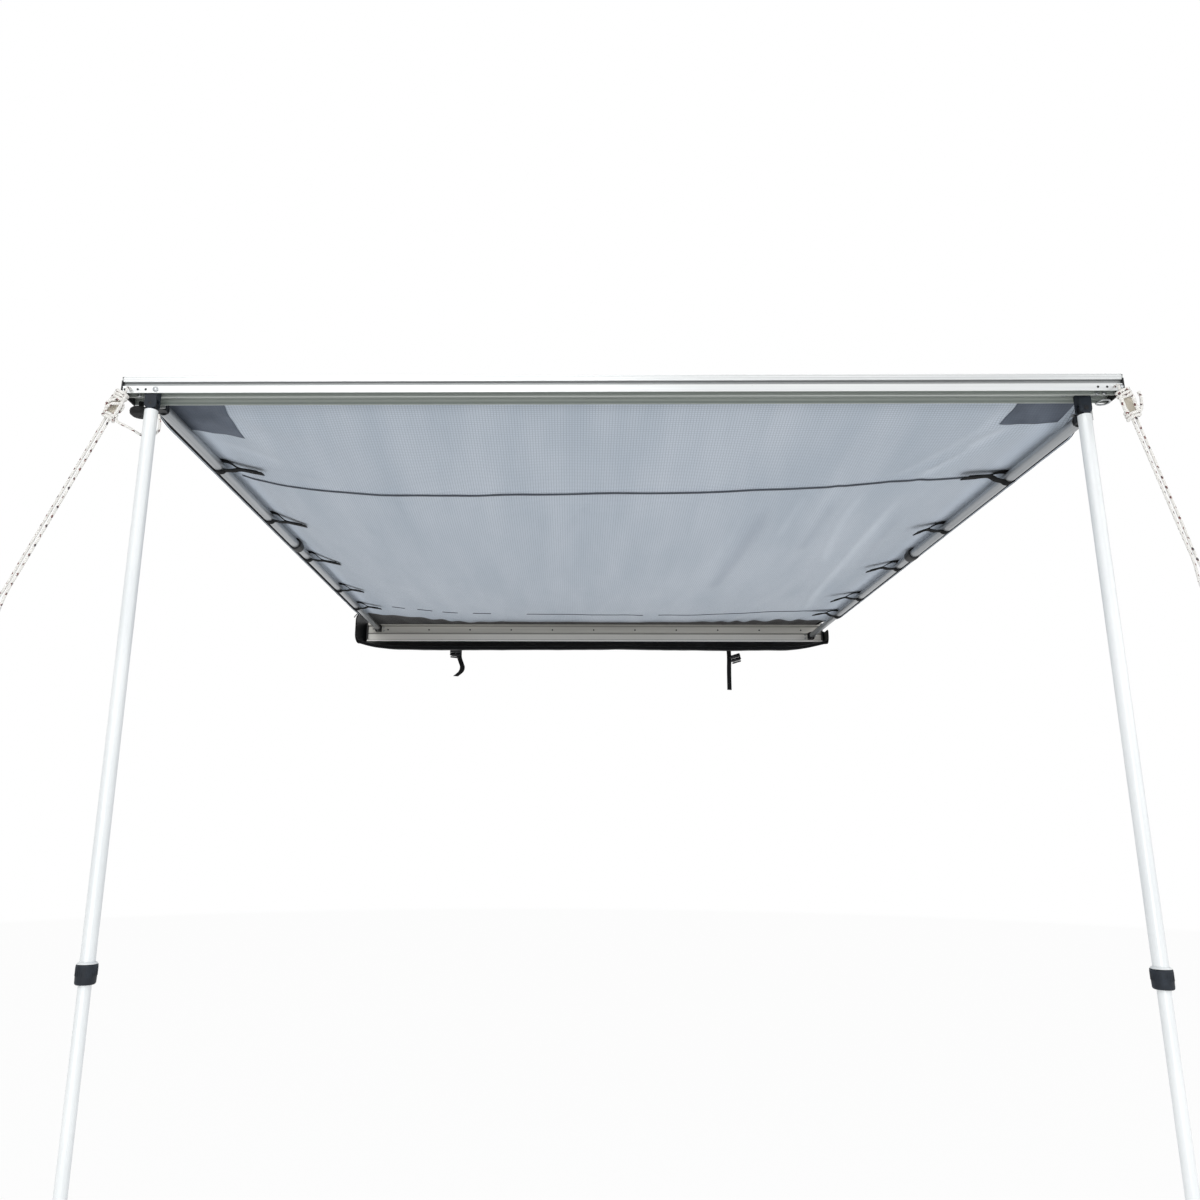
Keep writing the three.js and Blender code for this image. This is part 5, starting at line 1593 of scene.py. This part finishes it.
def bag_buckle(side, place, lean):
    """A side-release buckle from blocks: two halves, two prongs and a bar."""
    shape = bmesh.new()
    turn = Matrix.Translation(place) @ Matrix.Rotation(lean, 4, "Y")
    blocks = (
        (0.048, 0.015, 0.0085, 0, 0), (0.036, 0.014, 0.0085, 0, -0.0155),
        (0.005, 0.016, 0.007, 0.0205, -0.013), (0.005, 0.016, 0.007, -0.0205, -0.013),
        (0.040, 0.006, 0.0075, 0, -0.027),
    )
    for width, height, depth, dx, dz in blocks:
        block = turn @ Matrix.Translation((dx, 0, dz)) @ Matrix.Diagonal((width, depth, height, 1))
        bmesh.ops.create_cube(shape, size=1, matrix=block)
    bmesh.ops.bevel(shape, geom=shape.edges[:], offset=0.0016, segments=3, affect="EDGES")
    made = from_shape(f"bag_buckle_{side}", shape, BLACK)
    made.data.shade_smooth()
    settle(made, "black_plastic", "channel")


left_hanger = bag_strap("left", (
    (0, 0, 0), (0, 0, 0.030), (0.001, -0.001, 0.066), (0.009, -0.003, 0.090), (0.015, -0.001, 0.110),
    (0.010, 0.001, 0.128),
), (-0.014, 0.004))
bag_buckle("left", left_hanger + Vector((-0.016, -0.004, -0.040)), 0.10)
right_hanger = bag_strap("right", (
    (0, 0, 0), (0, 0, 0.030), (0, -0.002, 0.070), (-0.002, -0.001, 0.120),
), (-0.003, 0.002))
bag_buckle("right", right_hanger + Vector((0.024, -0.004, -0.060)), -0.30)


# Floor and light

def floor():
    """A pale floor that the camera sees as white light."""
    r = Recipe("pale_floor")
    x, y, _ = r.place()
    far = (x * x + (y + 1.5) * (y + 1.5)).rise(3.0, 90.0)
    r.done(Base_Color=linear(236, 236, 235), Roughness=0.9, Specular_IOR_Level=0.1)
    glow = r.node("ShaderNodeEmission", {}, {"Color": (1.0, 1.0, 1.0), "Strength": 1.0})
    share = far.most(0.96) * r.seen()
    both = r.node("ShaderNodeMixShader", {}, {0: share, 1: Value(r, r.shader.outputs[0]), 2: glow})
    output = next(n for n in r.tree.nodes if n.type == "OUTPUT_MATERIAL")
    r.wire(both, output.inputs["Surface"])
    far_edge = 40
    ways = ((-1, -1), (1, -1), (1, 1), (-1, 1))
    corners = [(far_edge * across, far_edge * out, FLOOR_Z) for across, out in ways]
    piece("floor", corners, [(0, 1, 2, 3)], r.material, smooth=False)


def area_light(name, place, target, size, power, shown=True):
    data = bpy.data.lights.new(name, "AREA")
    data.shape = "RECTANGLE"
    data.size, data.size_y = size
    data.energy = power
    light = bpy.data.objects.new(name, data)
    light.location = place
    light.visible_camera = shown
    light.visible_glossy = shown
    light.rotation_euler = (Vector(target) - Vector(place)).to_track_quat("-Z", "Y").to_euler()
    bpy.context.scene.collection.objects.link(light)


def studio():
    """A white world, which lights the awning less strongly than the camera sees it, and four lamps."""
    world = bpy.data.worlds.new("soft_sky")
    world.use_nodes = True
    r = Wiring(world.node_tree)
    background = r.tree.nodes["Background"]
    r.wire((1, 1, 1), background.inputs["Color"])
    glow = r.node("ShaderNodeMapRange", {}, {"Value": r.seen(), "To Min": 0.43, "To Max": 1.0})
    r.wire(glow, background.inputs["Strength"])
    bpy.context.scene.world = world
    area_light("key_light", (-1.6, -6.6, 3.2), (0, -1.4, -0.3), (4.0, 3.0), 118)
    area_light("low_light", (-0.5, -7.2, -1.2), (0.1, -1.0, 0.0), (2.6, 1.0), 62)
    area_light("fill_light", (4.5, -5.0, 0.6), (0, -1.2, -0.2), (3.0, 3.0), 50)
    area_light("bounce_light", (0.1, -1.05, FLOOR_Z + 0.01), (0.1, -1.05, 0.0), (5.6, 4.6), 43, shown=False)
    bpy.context.scene.view_settings.view_transform = "Standard"


floor()
studio()
